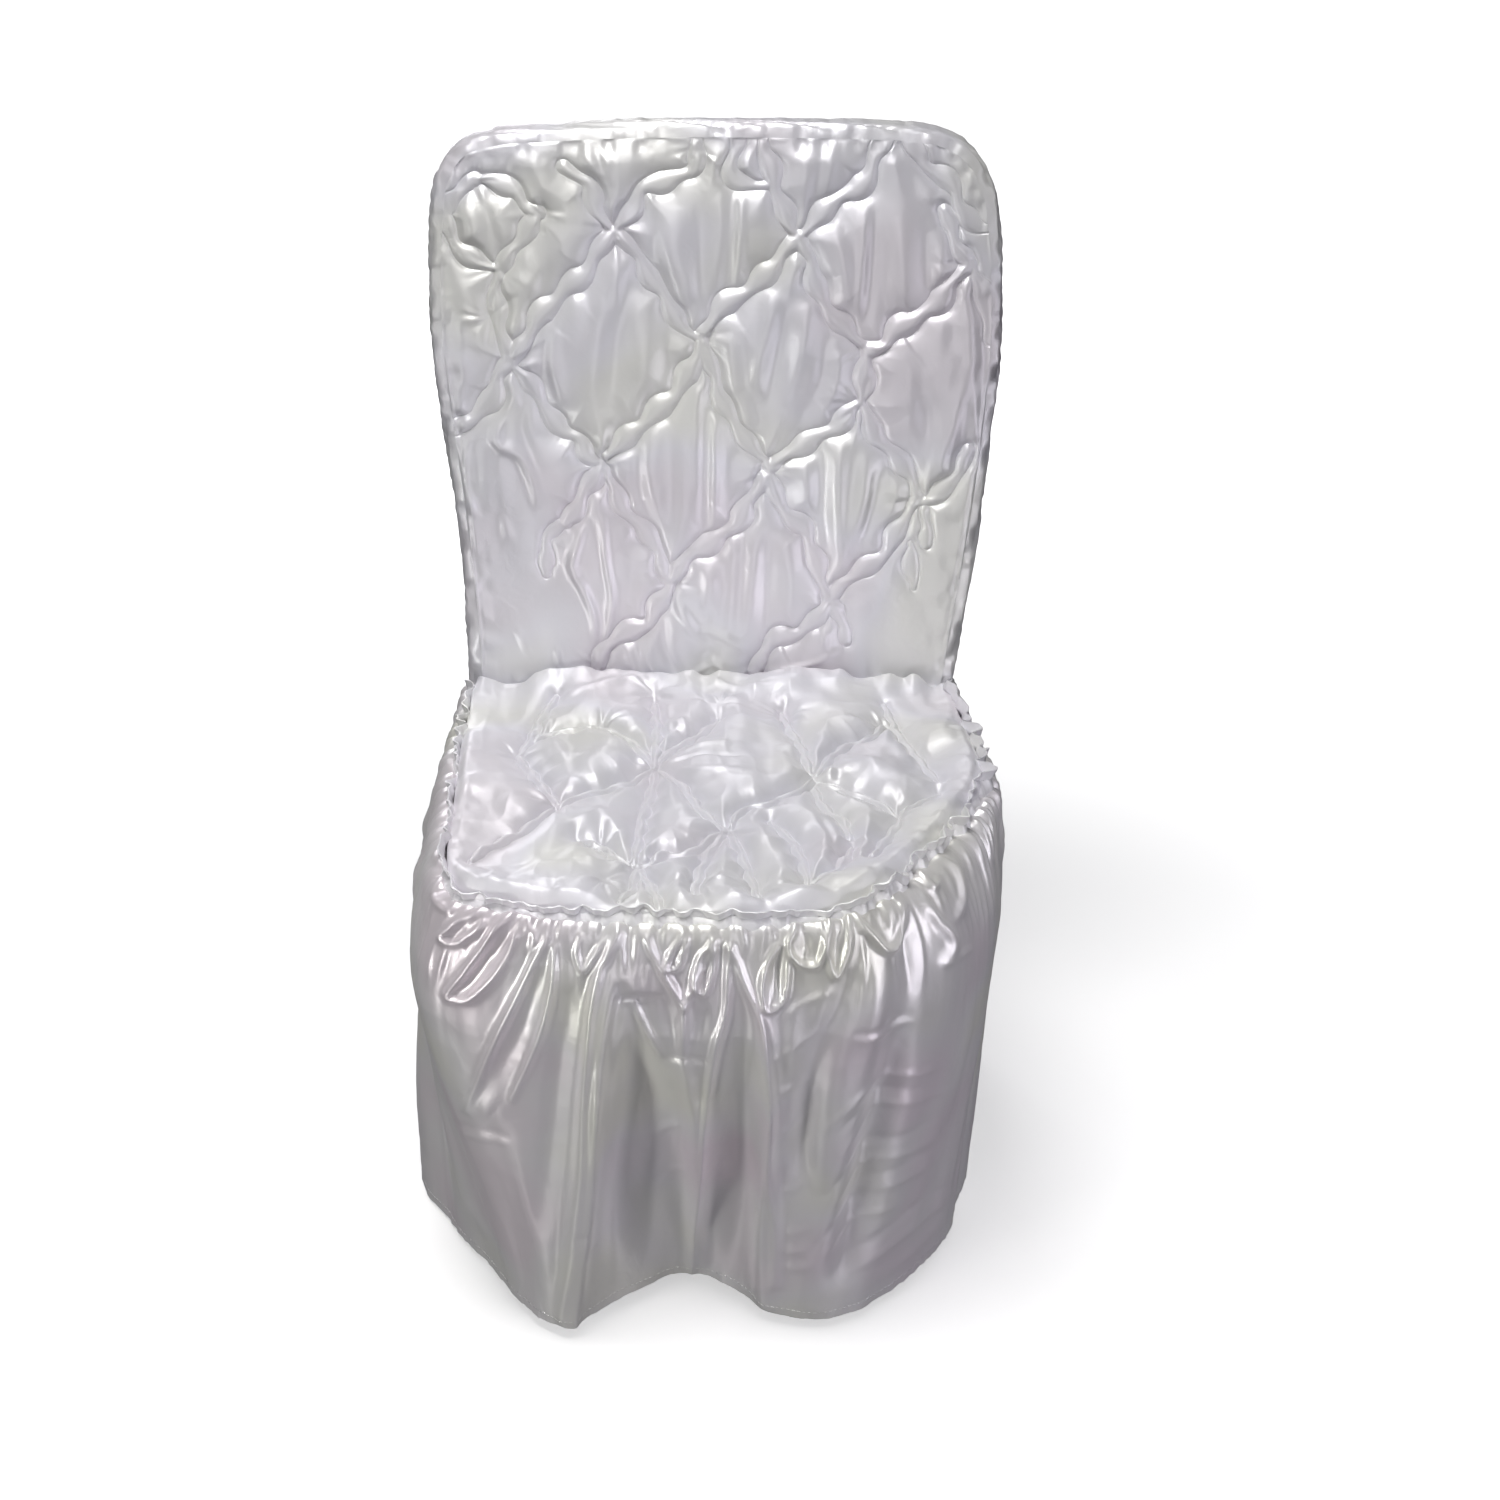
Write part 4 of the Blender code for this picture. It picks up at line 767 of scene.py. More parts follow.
seatChannels = {  # pixels; height factor, path
    "s1ToS2": (1.0, [(560, 810), (573, 803), (592, 799), (611, 793), (630, 787), (644, 779), (655, 772)]),
    "s1Up": (0.9, [(557, 807), (543, 790), (528, 771), (519, 759)]),
    "leftRim": (0.8, [(519, 757), (530, 742), (540, 722), (557, 700)]),
    "bigLoop": (0.9, [(535, 743), (548, 737), (573, 734), (592, 731), (611, 736), (630, 745),
        (646, 760), (655, 770)]),
    "s1Left": (1.1, [(553, 814), (539, 822), (526, 832), (504, 843), (483, 854), (471, 865)]),
    "s2Up": (0.8, [(655, 768), (657, 740), (655, 705)]),
    "s2UpRight": (0.8, [(660, 766), (672, 754), (690, 744), (718, 725)]),
    "s2ToS3": (0.8, [(655, 776), (650, 800), (643, 820), (639, 845), (634, 864)]),
    "s2ToS4": (0.6, [(660, 776), (684, 792), (700, 812), (724, 832)]),
    "s3ToS4": (1.0, [(637, 868), (650, 866), (663, 859), (688, 857), (706, 846), (725, 834)]),
    "s3Left": (0.7, [(630, 867), (618, 862), (602, 850), (580, 845)]),
    "s3Down": (0.7, [(636, 872), (632, 890), (620, 905)]),
    "s3Down2": (0.7, [(640, 872), (652, 890), (660, 910)]),
    "s4ToS5": (1.0, [(731, 830), (745, 813), (762, 810), (783, 802), (801, 794), (812, 784)]),
    "s4Down": (0.6, [(730, 838), (742, 858), (752, 884), (760, 904)]),
    "s4Left": (0.6, [(724, 838), (712, 852), (700, 874), (694, 898)]),
    "s5UpRight": (0.9, [(816, 778), (832, 760), (849, 749), (866, 744), (883, 729)]),
    "s5UpLeft": (0.7, [(810, 776), (802, 752), (788, 730), (782, 716)]),
    "s5ToS6": (0.8, [(820, 786), (837, 791), (854, 797), (878, 806), (896, 817)]),
    "s5Down": (0.7, [(815, 792), (826, 812), (843, 824), (850, 842)]),
    "s7Up": (0.6, [(808, 886), (802, 862), (790, 842), (770, 826)]),
    "s7Right": (0.6, [(812, 884), (836, 872), (852, 850)]),
    "s6Down": (0.7, [(900, 822), (886, 842), (872, 860)]),
    "s6Right": (0.7, [(903, 814), (922, 806), (938, 798)]),
    "rightRim": (0.6, [(884, 706), (900, 738), (918, 760), (940, 786)]),
}
seatKnots = {
    "s1": (558, 810, 26), "s2": (656, 772, 30), "s3": (635, 868, 26), "s4": (727, 834, 26),
    "s5": (813, 783, 30),
    "s6": (898, 818, 24), "s7": (809, 888, 22), "b1": (519, 758, 16), "b2": (546, 738, 18),
    "b3": (601, 731, 16),
    "b4": (720, 716, 24), "b5": (784, 722, 20), "b6": (883, 729, 18), "d1": (604, 890, 18),
    "d2": (700, 892, 20),
    "d3": (760, 896, 20), "d4": (852, 860, 20), "u1": (655, 700, 22), "u2": (690, 742, 18),
    "v1": (600, 850, 16),
}
seatFolds = {
    "loopHollow": (12, -3.4, [(570, 748), (566, 770), (580, 790)]),
    "loopHollow2": (9, -3.8, [(640, 762), (630, 785)]),
    "loopPuff": (16, 3.0, [(606, 745), (608, 765), (602, 785)]),
    "leftLeaf": (7, 2.6, [(552, 748), (564, 770), (568, 790)]),
    "leftLeaf2": (6, -2.6, [(540, 756), (548, 776)]),
    "leftPuff": (20, 2.6, [(500, 800), (515, 818)]),
    "leftFront": (20, -2.4, [(500, 872), (520, 890)]),
    "s2Star1": (4, 2.6, [(662, 768), (700, 760), (740, 758)]),
    "s2Star2": (4, -2.6, [(664, 774), (702, 770), (745, 770)]),
    "s2Star3": (4, 2.4, [(664, 778), (698, 784), (740, 786)]),
    "s2Star4": (4, -2.2, [(662, 782), (690, 795)]),
    "s2Vert": (4, 2.6, [(667, 716), (667, 740), (662, 762)]),
    "s2Vert2": (4, -2.6, [(662, 712), (662, 736), (659, 758)]),
    "s2Vert3": (4, -2.2, [(648, 716), (650, 736), (652, 756)]),
    "s12Dip": (6, -3.2, [(655, 800), (648, 824), (642, 850)]),
    "s12Ridge": (5, 2.8, [(646, 808), (642, 830)]),
    "pocket1": (6, -3.4, [(578, 836), (572, 848)]),
    "pocket2": (6, -3.2, [(620, 852), (628, 862)]),
    "pocket3": (7, -3.2, [(664, 882), (668, 905)]),
    "pocket4": (6, -3.0, [(716, 848), (712, 872)]),
    "pocket5": (6, -3.2, [(742, 850), (750, 872)]),
    "pocket6": (6, -3.0, [(704, 812), (712, 828)]),
    "pocket7": (5, -2.8, [(820, 830), (832, 850), (836, 868)]),
    "pocket8": (6, -2.8, [(790, 860), (796, 880)]),
    "pocket9": (6, -2.6, [(788, 762), (796, 780)]),
    "pocket10": (6, -2.8, [(830, 765), (842, 790)]),
    "ridge1": (8, 2.6, [(690, 812), (684, 830)]),
    "ridge2": (9, 2.6, [(770, 830), (760, 850)]),
    "ridge3": (9, 2.4, [(590, 820), (604, 836)]),
    "ridge4": (10, 2.4, [(860, 770), (884, 784)]),
    "ridge5": (8, 2.4, [(876, 836), (866, 850)]),
    "ridge6": (9, 2.2, [(590, 870), (600, 890)]),
    "ridge7": (9, 2.4, [(680, 876), (684, 896)]),
    "ridge8": (9, 2.4, [(776, 876), (778, 898)]),
    "rearFold1": (6, 2.8, [(560, 704), (600, 698), (650, 690)]),
    "rearFold2": (6, -2.4, [(700, 700), (712, 722)]),
    "rearFold3": (6, 2.6, [(700, 690), (740, 700), (790, 700)]),
    "rearFold4": (7, -2.2, [(750, 706), (748, 730)]),
    "plainRear": (16, -2.0, [(505, 712), (512, 740)]),
}
seatPlain = ((-0.180, 0.122, 0.052), (0.190, 0.122, 0.044), (-0.165, -0.105, 0.038))


def runRows(at):
    return smoothCurve(runKnots, runTable, at)


def seatSeam(low, high, count):
    at = evenKnots(runKnots, runTable[:, :2], low, high, count)
    ahead = runRows(at + seatSmocking["around"])[:, :2] - runRows(at - seatSmocking["around"])[:, :2]
    ahead /= np.linalg.norm(ahead, axis=1)[:, None]
    return runRows(at)[:, :2], np.stack([ahead[:, 1], -ahead[:, 0]], axis=1), at


def seatSide(low, high, count):
    line, out, _ = seatSeam(low, high, count)
    return line - (cover["seamInset"] + cover["seamGap"]) * out


def seatRim(points, edge):
    # height of the rolled edge, uneven along the rear
    setup = seatSmocking
    atRear = bell(points[:, 1] - cover["seatBackY"], setup["rearReach"])
    uneven = 1 + atRear * sum(swells(points, row) for row in setup["rearUneven"])
    level = 1 - setup["rimLoss"] * ease(edge / setup["rimReach"])
    return setup["rim"] * uneven * ease(edge / setup["rimRise"]) * level


def overTheSeam(points, edge, loop):
    # the edge bulges a little over its seam, but not at the rear
    setup = seatSmocking
    bulge = setup["overhang"] * ease(edge / setup["overhangRise"])
    bulge *= 1 - ease((edge - setup["overhangFrom"]) / setup["overhangFade"])
    bulge *= ease((cover["seatBackY"] - setup["overhangClear"] - points[:, 1]) / setup["overhangRear"])
    away, _, back = nearestOn(points, loop)
    return points - bulge[:, None] * back / np.maximum(away, 1e-9)[:, None]


def makeSeat():
    setup = seatSmocking
    rear = cover["seatBackY"] - setup["setback"]
    left = seatSide(1, setup["cornerLeft"], setup["rows"])[::-1]
    front = seatSide(setup["cornerLeft"], setup["cornerRight"], setup["columns"])
    right = seatSide(setup["cornerRight"], len(skirtRun) - 2, setup["rows"])
    for side in (left, right):
        side[:, 1] = np.minimum(side[:, 1], rear)
        side[-1, 1] = rear
    back = levelLine(left[-1, 0], right[-1, 0], rear, setup["columns"])
    flat = patch(front, back, left, right)[::-1]
    points = flat.reshape(-1, 2)
    loop = loopAround(front, back, left, right, every=3)
    height, nearest, plain, room, edge = smockedField(
        points, loop, setup, seatChannels, seatKnots, seatFolds, seatPlain, onSeat)
    for row, least, kind in setup["swells"]:
        height += swells(points, row, kind) * room * (least + (1 - least) * plain)
    pull = bell(edge, setup["pullReach"]) * ease(edge / setup["pullRise"])
    height += pull * swells(points, setup["pull"])
    crown = setup["crown"] * (1 - (1 - np.clip(edge / setup["crownReach"], 0.0, 1.0)) ** 2)
    level = cover["seatZ"] + height * ease(edge / setup["edgeRound"]) + crown + seatRim(points, edge)
    outer = np.column_stack([overTheSeam(points, edge, loop), level])
    return clothObject("seatPanel", outer.reshape(*flat.shape[:2], 3), cover["cloth"], nearest)


# Gathered heading on the seat seam

threadRuns = {}      # lines that the rows of stitches follow
headingForm = {
    "columns": 1201, "rows": 17,
    "half": 0.0009, "cloth": 0.00108, "fromRear": 0.06,
    "section": ((-0.0030, 0.0050, 0.40), (0.0022, 0.0038, 0.50), (0.0055, 0.0016, 0.60),
                (0.0100, 0.0014, 1.00), (0.0130, 0.0026, 0.95)),   # height, lean, share of the wave
    "wave": 0.0040, "waves": (((0.0088, 1.0), 1.0, 51), ((0.0046, 1.0), 0.35, 52)),
    "ragged": ((0.013, 1.0), 0.0034, 53), "raggedFuller": 0.8, "taller": 0.3,
    "small": ((0.005, 0.006), 0.0008, 54),
    "right": (14.0, 2.5, 0.8), "left": (2.5, 1.8, 0.6),            # fuller there: run, reach, how much
}


def makeHeading():
    setup = headingForm
    ends = (1 + setup["fromRear"], len(skirtRun) - 2 - setup["fromRear"])
    seam, out, at = seatSeam(*ends, setup["columns"])
    run = runLengths(seam)
    places = np.stack([run, np.zeros(len(run))], axis=1)
    fuller = setup["right"][2] * ease((at - setup["right"][0]) / setup["right"][1])
    fuller = fuller + setup["left"][2] * bell(at - setup["left"][0], setup["left"][1])
    wave = setup["wave"] * sum(swells(places, row) for row in setup["waves"]) * (1 + fuller)
    ragged = swells(places, setup["ragged"]) * (1 + setup["raggedFuller"] * fuller)
    rows = []
    for height, lean, share in smoothLine(setup["section"], setup["rows"]):
        deep = np.stack([run, np.full(len(run), height)], axis=1)
        middle = lean + share * (wave + swells(deep, setup["small"])) + setup["half"]
        level = cover["seatZ"] + height * (1 + setup["taller"] * fuller * (height > 0))
        rows.append(np.column_stack([seam + middle[:, None] * out, level + share * ragged]))
    grid = np.array(rows)[::-1]
    threadRuns["heading"] = grid[setup["rows"] // 2]
    return clothObject("seatFrill", grid, setup["cloth"])


# Skirt

skirtForm = {
    "columns": 581, "shoulderRows": 50, "fallRows": 98,
    "front": (3.5, 21.5), "frontFade": 1.5, "sideDensity": 0.45,   # columns lie closer between these rows
    "shoulderPuff": 0.0050, "puffReach": 0.030, "topFade": 0.05, "topLeast": 0.65,
    "fallEase": 0.30, "hemEase": 0.45,
    "shoulderDrop": 0.22, "dropScale": 0.12, "broadRise": 2.5, "broadEnds": (0.08, 0.7),
    "creasePoints": 6, "fewestPoints": 10, "creaseReach": 60.0, "creaseEnds": (0.05, 0.5),
    "creaseRoom": 34.0, "facing": 0.18,                            # pixels around a crease without gathers
    "swells": (((0.035, 0.26), 0.0014, 62), ((0.018, 0.09), 0.0007, 63)),
    "crease": ((0.03, 0.022), 0.0002, 64), "calm": 0.03,
    "hemPull": ((0.006, 0.02), 0.0006, 65), "hemReach": 0.02, "hemRise": 0.015,
    "hemStitches": 3,                                              # row of the sheet, counted from the hem
    "sideStart": 0.15, "sideFade": 0.8, "sideOut": 0.0014,
    "broad": (  # run at the top, drop at the top, run at the hem, drop at the hem, half width, height
        (2.7, 0.38, 3.0, 0.90, 1.10, 0.0090), (4.4, 0.30, 4.2, 1.00, 0.45, -0.0035),
        (5.6, 0.42, 5.2, 0.98, 0.45, 0.0055), (8.0, 0.60, 7.6, 1.00, 0.55, -0.0060),
        (10.4, 0.10, 9.1, 1.00, 0.26, 0.0170), (11.1, 0.22, 10.3, 0.95, 0.40, -0.0130),
        (11.9, 0.42, 12.0, 1.00, 0.22, 0.0100), (12.6, 0.40, 12.9, 0.95, 0.36, -0.0090),
        (12.7, 0.10, 13.6, 0.98, 0.24, 0.0150), (14.1, 0.20, 14.5, 0.95, 0.40, 0.0040),
        (15.2, 0.16, 15.0, 0.86, 0.36, -0.0130), (17.0, 0.20, 16.8, 0.60, 0.34, 0.0050),
        (18.5, 0.20, 18.8, 1.00, 0.42, -0.0050), (20.2, 0.18, 20.0, 1.00, 0.55, 0.0050),
    ),
}
gatherForm = {  # a gather every 15 to 24 mm, each of its own length and lean
    "seed": 61, "margin": 0.012, "spacing": 0.0185, "spacings": (0.8, 1.3),
    "length": (0.030, 0.085), "half": (0.0042, 0.0070), "lean": (-0.10, 0.10),
    "height": 0.0036, "heights": (0.7, 1.25), "rim": 0.0021, "round": 0.7,
    "start": 0.10, "stop": 1.05, "end": 1.08, "endFade": 0.60,
    "valleyOff": 0.0098, "valleyWidth": 0.0035, "valleyDepth": 0.6, "valleyFade": 1.6,
    "rimYields": 0.95, "valleyYields": 0.6,
}
skirtCreases = {  # pixels; width px, height mm, path
    "loopA": (4.0, 4.3, [(493, 912), (470, 918), (452, 928), (442, 937), (452, 943), (470, 936),
        (486, 924)]),
    "loopB": (4.5, 5.7, [(529, 914), (502, 925), (480, 953), (464, 974), (449, 996), (465, 999),
        (487, 984), (504, 962), (515, 936)]),
    "loopBHollow": (8.0, -3.0, [(506, 938), (486, 962), (468, 986)]),
    "longLeftA": (5.0, 6.2, [(548, 938), (534, 962), (521, 990), (498, 1035), (481, 1074), (468, 1108)]),
    "longLeftB": (4.5, 5.7, [(554, 946), (553, 979), (543, 1026), (526, 1068), (512, 1098)]),
    "longLeftHollow": (11.0, -3.4, [(536, 985), (520, 1030), (500, 1070)]),
    "longLeftBlob": (13.0, 4.6, [(474, 1100), (494, 1112)]),
    "leftCrease": (3.0, -1.4, [(451, 1124), (478, 1130), (507, 1136)]),
    "leftCreaseLip": (3.0, 1.2, [(460, 1133), (484, 1139), (507, 1144)]),
    "smallD": (3.5, 4.6, [(581, 936), (577, 953), (584, 969), (594, 956), (608, 934)]),
    "spoutE": (5.0, 2.6, [(532, 925), (534, 940), (528, 950)]),
    "mainCrest": (5.5, 9.0, [(618, 934), (603, 962), (594, 993), (588, 1040), (582, 1096),
        (577, 1153), (570, 1215), (566, 1265), (560, 1315)]),
    "mainBand": (9.0, 4.2, [(606, 980), (598, 1068), (595, 1153), (590, 1240)]),
    "mainValley": (19.0, -11.0, [(640, 1010), (632, 1080), (624, 1160), (618, 1240)]),
    "mainWall": (6.0, -3.4, [(622, 985), (612, 1040), (606, 1100), (601, 1160), (594, 1225), (588, 1280)]),
    "leftValley": (14.0, -5.0, [(566, 1000), (556, 1070), (548, 1150), (540, 1230)]),
    "flapTop": (9.0, 2.6, [(626, 972), (634, 988), (648, 994)]),
    "flapCrease": (2.6, -3.4, [(617, 999), (640, 999), (661, 998)]),
    "flapUnder": (5.0, -1.6, [(622, 1008), (650, 1008)]),
    "vLeft": (4.0, 5.1, [(647, 939), (661, 967), (672, 986), (683, 1006)]),
    "vRight": (4.0, 4.6, [(717, 940), (706, 962), (695, 985), (684, 1008)]),
    "vTrunk": (4.5, 4.6, [(684, 1008), (683, 1030), (683, 1054)]),
    "vOuter": (4.5, 4.3, [(633, 1004), (647, 1035), (661, 1060)]),
    "vHollow": (8.0, -2.6, [(664, 1000), (672, 1040)]),
    "vHollow2": (8.0, -3.0, [(704, 1010), (698, 1044)]),
    "lockCrease": (2.6, -2.4, [(661, 1062), (684, 1060), (709, 1063)]),
    "centreStrip": (8.0, 6.0, [(684, 1066), (692, 1110), (693, 1153), (697, 1209), (700, 1256)]),
    "centreDip": (12.0, -3.4, [(672, 1100), (668, 1160), (664, 1220)]),
    "teardropE": (3.0, 4.6, [(684, 934), (670, 954), (667, 967), (675, 968), (684, 950), (688, 936)]),
    "teardropF": (3.0, 5.2, [(712, 940), (698, 962), (694, 984), (702, 994), (712, 972), (716, 950)]),
    "teardropFHollow": (5.0, -2.7, [(706, 955), (703, 982)]),
    "panelLeft": (4.0, 5.1, [(729, 948), (728, 980), (726, 1012), (716, 1046), (710, 1080),
        (704, 1125), (702, 1181), (707, 1262)]),
    "panelRight": (5.0, 7.0, [(731, 946), (746, 987), (760, 1018), (766, 1057), (771, 1096),
        (774, 1153), (780, 1223), (778, 1282)]),
    "panelFlat": (19.0, -6.0, [(742, 1010), (742, 1090), (742, 1180), (744, 1260)]),
    "teardropG": (3.2, 5.7, [(779, 944), (766, 966), (762, 985), (768, 1008), (780, 1003), (787, 980),
        (788, 954)]),
    "teardropGHollow": (5.0, -2.9, [(776, 960), (774, 990)]),
    "loopH": (3.4, 5.5, [(797, 926), (788, 944), (801, 964), (816, 965), (823, 946), (820, 926)]),
    "loopHHollow": (5.0, -2.9, [(806, 932), (808, 952)]),
    "loopI": (3.4, 5.7, [(828, 922), (827, 950), (835, 976), (846, 953), (846, 922)]),
    "loopIHollow": (4.0, -2.7, [(837, 930), (836, 956)]),
    "loopJ": (4.0, 6.4, [(852, 918), (870, 936), (888, 950), (897, 946), (903, 928), (900, 908)]),
    "loopJHollow": (8.0, -3.4, [(872, 914), (884, 932)]),
    "loopK": (5.0, 4.9, [(922, 905), (938, 922), (952, 944), (946, 962)]),
    "loopL": (4.0, 4.9, [(930, 858), (952, 870), (962, 896), (956, 918)]),
    "loopM": (3.6, 4.3, [(905, 868), (918, 880), (930, 890), (936, 880)]),
    "valleyR1": (14.0, -7.5, [(850, 985), (836, 1020), (820, 1060), (806, 1110), (802, 1150), (812, 1190)]),
    "valleyR2": (10.0, -4.4, [(908, 905), (908, 940), (912, 985)]),
    "bandR": (9.0, 3.0, [(794, 1010), (790, 1060), (788, 1120), (790, 1200), (792, 1260)]),
    "shineR": (16.0, 4.0, [(882, 960), (880, 1000), (872, 1040)]),
    "diag1": (3.4, 1.1, [(785, 1016), (808, 1002), (832, 993)]),
    "diag2": (3.4, 1.1, [(776, 1055), (798, 1044), (820, 1032)]),
    "diag3": (3.4, -1.5, [(857, 1034), (880, 1030), (912, 1016)]),
    "diag3Lip": (3.4, 1.3, [(862, 1042), (884, 1036), (914, 1024)]),
    "diag4": (3.6, 1.7, [(828, 1124), (850, 1104), (876, 1088), (912, 1076), (945, 1064)]),
    "diag4Dip": (3.6, -1.5, [(836, 1132), (858, 1112), (886, 1098), (925, 1086)]),
    "diag5": (3.6, 1.7, [(840, 1152), (858, 1134), (886, 1112), (918, 1100), (946, 1090)]),
    "diag6": (3.6, -1.8, [(824, 1196), (846, 1172), (872, 1152), (900, 1138), (930, 1122)]),
    "diag6Lip": (3.4, 1.8, [(836, 1200), (858, 1180), (884, 1162), (914, 1148), (938, 1134)]),
    "diag7": (3.4, -1.6, [(862, 1192), (884, 1176), (908, 1162), (938, 1146)]),
    "diag7Lip": (3.4, 1.7, [(870, 1200), (892, 1184), (916, 1172), (942, 1156)]),
    "diag8": (3.6, -1.8, [(812, 1246), (834, 1226), (860, 1206), (886, 1192)]),
    "diag8Lip": (3.4, 1.7, [(824, 1254), (846, 1234), (872, 1216), (898, 1202)]),
    "diag9": (3.6, -1.9, [(836, 1272), (864, 1248), (890, 1226), (918, 1204), (950, 1182)]),
    "diag9Lip": (3.6, 1.9, [(846, 1278), (874, 1256), (900, 1236), (928, 1214), (954, 1194)]),
    "diag10": (3.6, 1.3, [(880, 1276), (906, 1256), (932, 1232), (950, 1212)]),
    "ripple1": (3.4, 1.2, [(776, 1086), (790, 1086), (804, 1083)]),
    "ripple2": (3.4, 1.2, [(778, 1126), (792, 1126), (804, 1121)]),
    "ripple3": (3.4, 1.2, [(780, 1186), (794, 1186), (806, 1182)]),
    "ripple4": (3.4, 1.2, [(782, 1230), (798, 1229), (812, 1225)]),
    "ripple5": (3.4, 1.2, [(782, 1248), (798, 1248), (812, 1244)]),
    "ripple6": (3.4, 1.2, [(782, 1266), (798, 1266), (814, 1262)]),
    "tickR": (3.0, 2.0, [(944, 965), (958, 957), (972, 948)]),
    "midDiag1": (3.4, 1.2, [(655, 1142), (670, 1132), (688, 1124)]),
    "midDiag2": (3.4, 1.2, [(654, 1188), (670, 1174), (686, 1166)]),
    "mainTick1": (3.4, -1.3, [(572, 1228), (584, 1222), (602, 1210)]),
    "mainTick2": (3.4, -1.3, [(574, 1262), (586, 1254), (600, 1246)]),
    "leftTick": (4.0, 1.8, [(470, 1206), (480, 1222), (488, 1238)]),
    "leftSide1": (4.0, 3.2, [(452, 826), (446, 850), (440, 862), (448, 872), (460, 866), (462, 848)]),
    "leftSide2": (4.0, 3.0, [(448, 880), (438, 900), (452, 912), (462, 896)]),
}


def skirtLevels():
    shoulder = np.linspace(0, 1, skirtForm["shoulderRows"] + 1)
    fall = np.linspace(0, 1, skirtForm["fallRows"] + 1)[1:]
    fall = (1 - skirtForm["fallEase"]) * fall + skirtForm["fallEase"] * fall * fall
    return np.concatenate([np.stack([shoulder, 0 * shoulder], 1), np.stack([1 + 0 * fall, fall], 1)])


def skirtColumns():
    # even round the sides, and closer together in front, where the folds are narrow
    setup = skirtForm
    fine = evenKnots(runKnots, runTable[:, 2:4], 0.0, runKnots[-1], 4 * setup["columns"])
    low, high = setup["front"]
    inFront = ease((fine - low) / setup["frontFade"]) * ease((high - fine) / setup["frontFade"])
    density = setup["sideDensity"] + (1 - setup["sideDensity"]) * inFront
    counted = np.concatenate([[0.0], np.cumsum(0.5 * (density[1:] + density[:-1]))])
    return np.interp(np.linspace(0.0, counted[-1], setup["columns"]), counted, fine)


def skirtBase(at, levels):
    rows = runRows(at)
    seam, hip, hem, hemZ = rows[:, :2], rows[:, 2:4], rows[:, 4:6], rows[:, 6]
    seam = seam + (cover["seamInset"] + cover["seamGap"]) * sideways(seam, -1.0)
    grid = []
    for shoulder, fall in levels:
        roundOff = math.sin(0.5 * math.pi * shoulder)
        lowered = 1 - math.cos(0.5 * math.pi * shoulder)
        share = (1 - skirtForm["hemEase"]) * fall + skirtForm["hemEase"] * ease(fall)
        flat = seam + (hip - seam) * roundOff + (hem - hip) * share
        height = cover["skirtTopZ"] + (cover["hipZ"] - cover["skirtTopZ"]) * lowered
        grid.append(np.column_stack([flat, height + (hemZ - cover["hipZ"]) * fall]))
    return np.array(grid)


def broadFolds(at, drop):
    setup = skirtForm
    places = np.stack([at, drop / setup["dropScale"]], axis=1)
    relief = np.zeros(len(at))
    for top, topDrop, hem, hemDrop, width, height in setup["broad"]:
        line = np.array([(top, topDrop / setup["dropScale"]), (hem, hemDrop / setup["dropScale"])])
        away, share = offLine(places, line)
        body = height * bell(away, width) * taper(share, *setup["broadEnds"])
        relief += body * np.minimum(1, setup["broadRise"] * drop)
    return relief


def creasesByHand(spots, outward):
    # relief of the photograph's own folds, and where they leave no room for gathers
    setup = skirtForm
    away = eye - spots
    facing = ease((away * outward).sum(axis=1) / np.linalg.norm(away, axis=1) / setup["facing"])
    pixels = pixelOf(spots)
    relief, taken = np.zeros(len(spots)), np.zeros(len(spots))
    for wide, tall, path in skirtCreases.values():
        line = smoothLine(path, max(setup["fewestPoints"], setup["creasePoints"] * len(path)))
        off, share = offLine(pixels, line, setup["creaseReach"])
        body = bell(off, wide) * taper(share, *setup["creaseEnds"])
        relief += drawing["millimetre"] * tall * body * facing
        taken = np.maximum(taken, bell(off, setup["creaseRoom"]) * facing)
    return relief, taken


def gathers(run, depth, taken):
    setup = gatherForm
    rng = np.random.default_rng(setup["seed"])
    relief = np.zeros(len(run))
    spot = setup["margin"]
    while spot < run[-1] - setup["margin"]:
        length = rng.uniform(*setup["length"])
        half = rng.uniform(*setup["half"])
        lean = rng.uniform(*setup["lean"])
        tall = setup["height"] * rng.uniform(*setup["heights"])
        down = depth / length
        across = np.abs(run - spot - lean * depth)
        widest = np.sin(math.pi * np.clip(setup["start"] + (1 - setup["start"]) * down, 0, 1))
        rims = bell(across - half * widest ** setup["round"], setup["rim"]) * (down < setup["stop"])
        rims *= ease(down / setup["start"]) * ease((setup["end"] - down) / setup["endFade"])
        relief += tall * rims * (1 - setup["rimYields"] * taken)
        valley = bell(across - setup["valleyOff"], setup["valleyWidth"])
        valley *= setup["valleyDepth"] * np.exp(-down * setup["valleyFade"])
        relief -= tall * valley * (1 - setup["valleyYields"] * taken)
        spot += setup["spacing"] * rng.uniform(*setup["spacings"])
    return relief


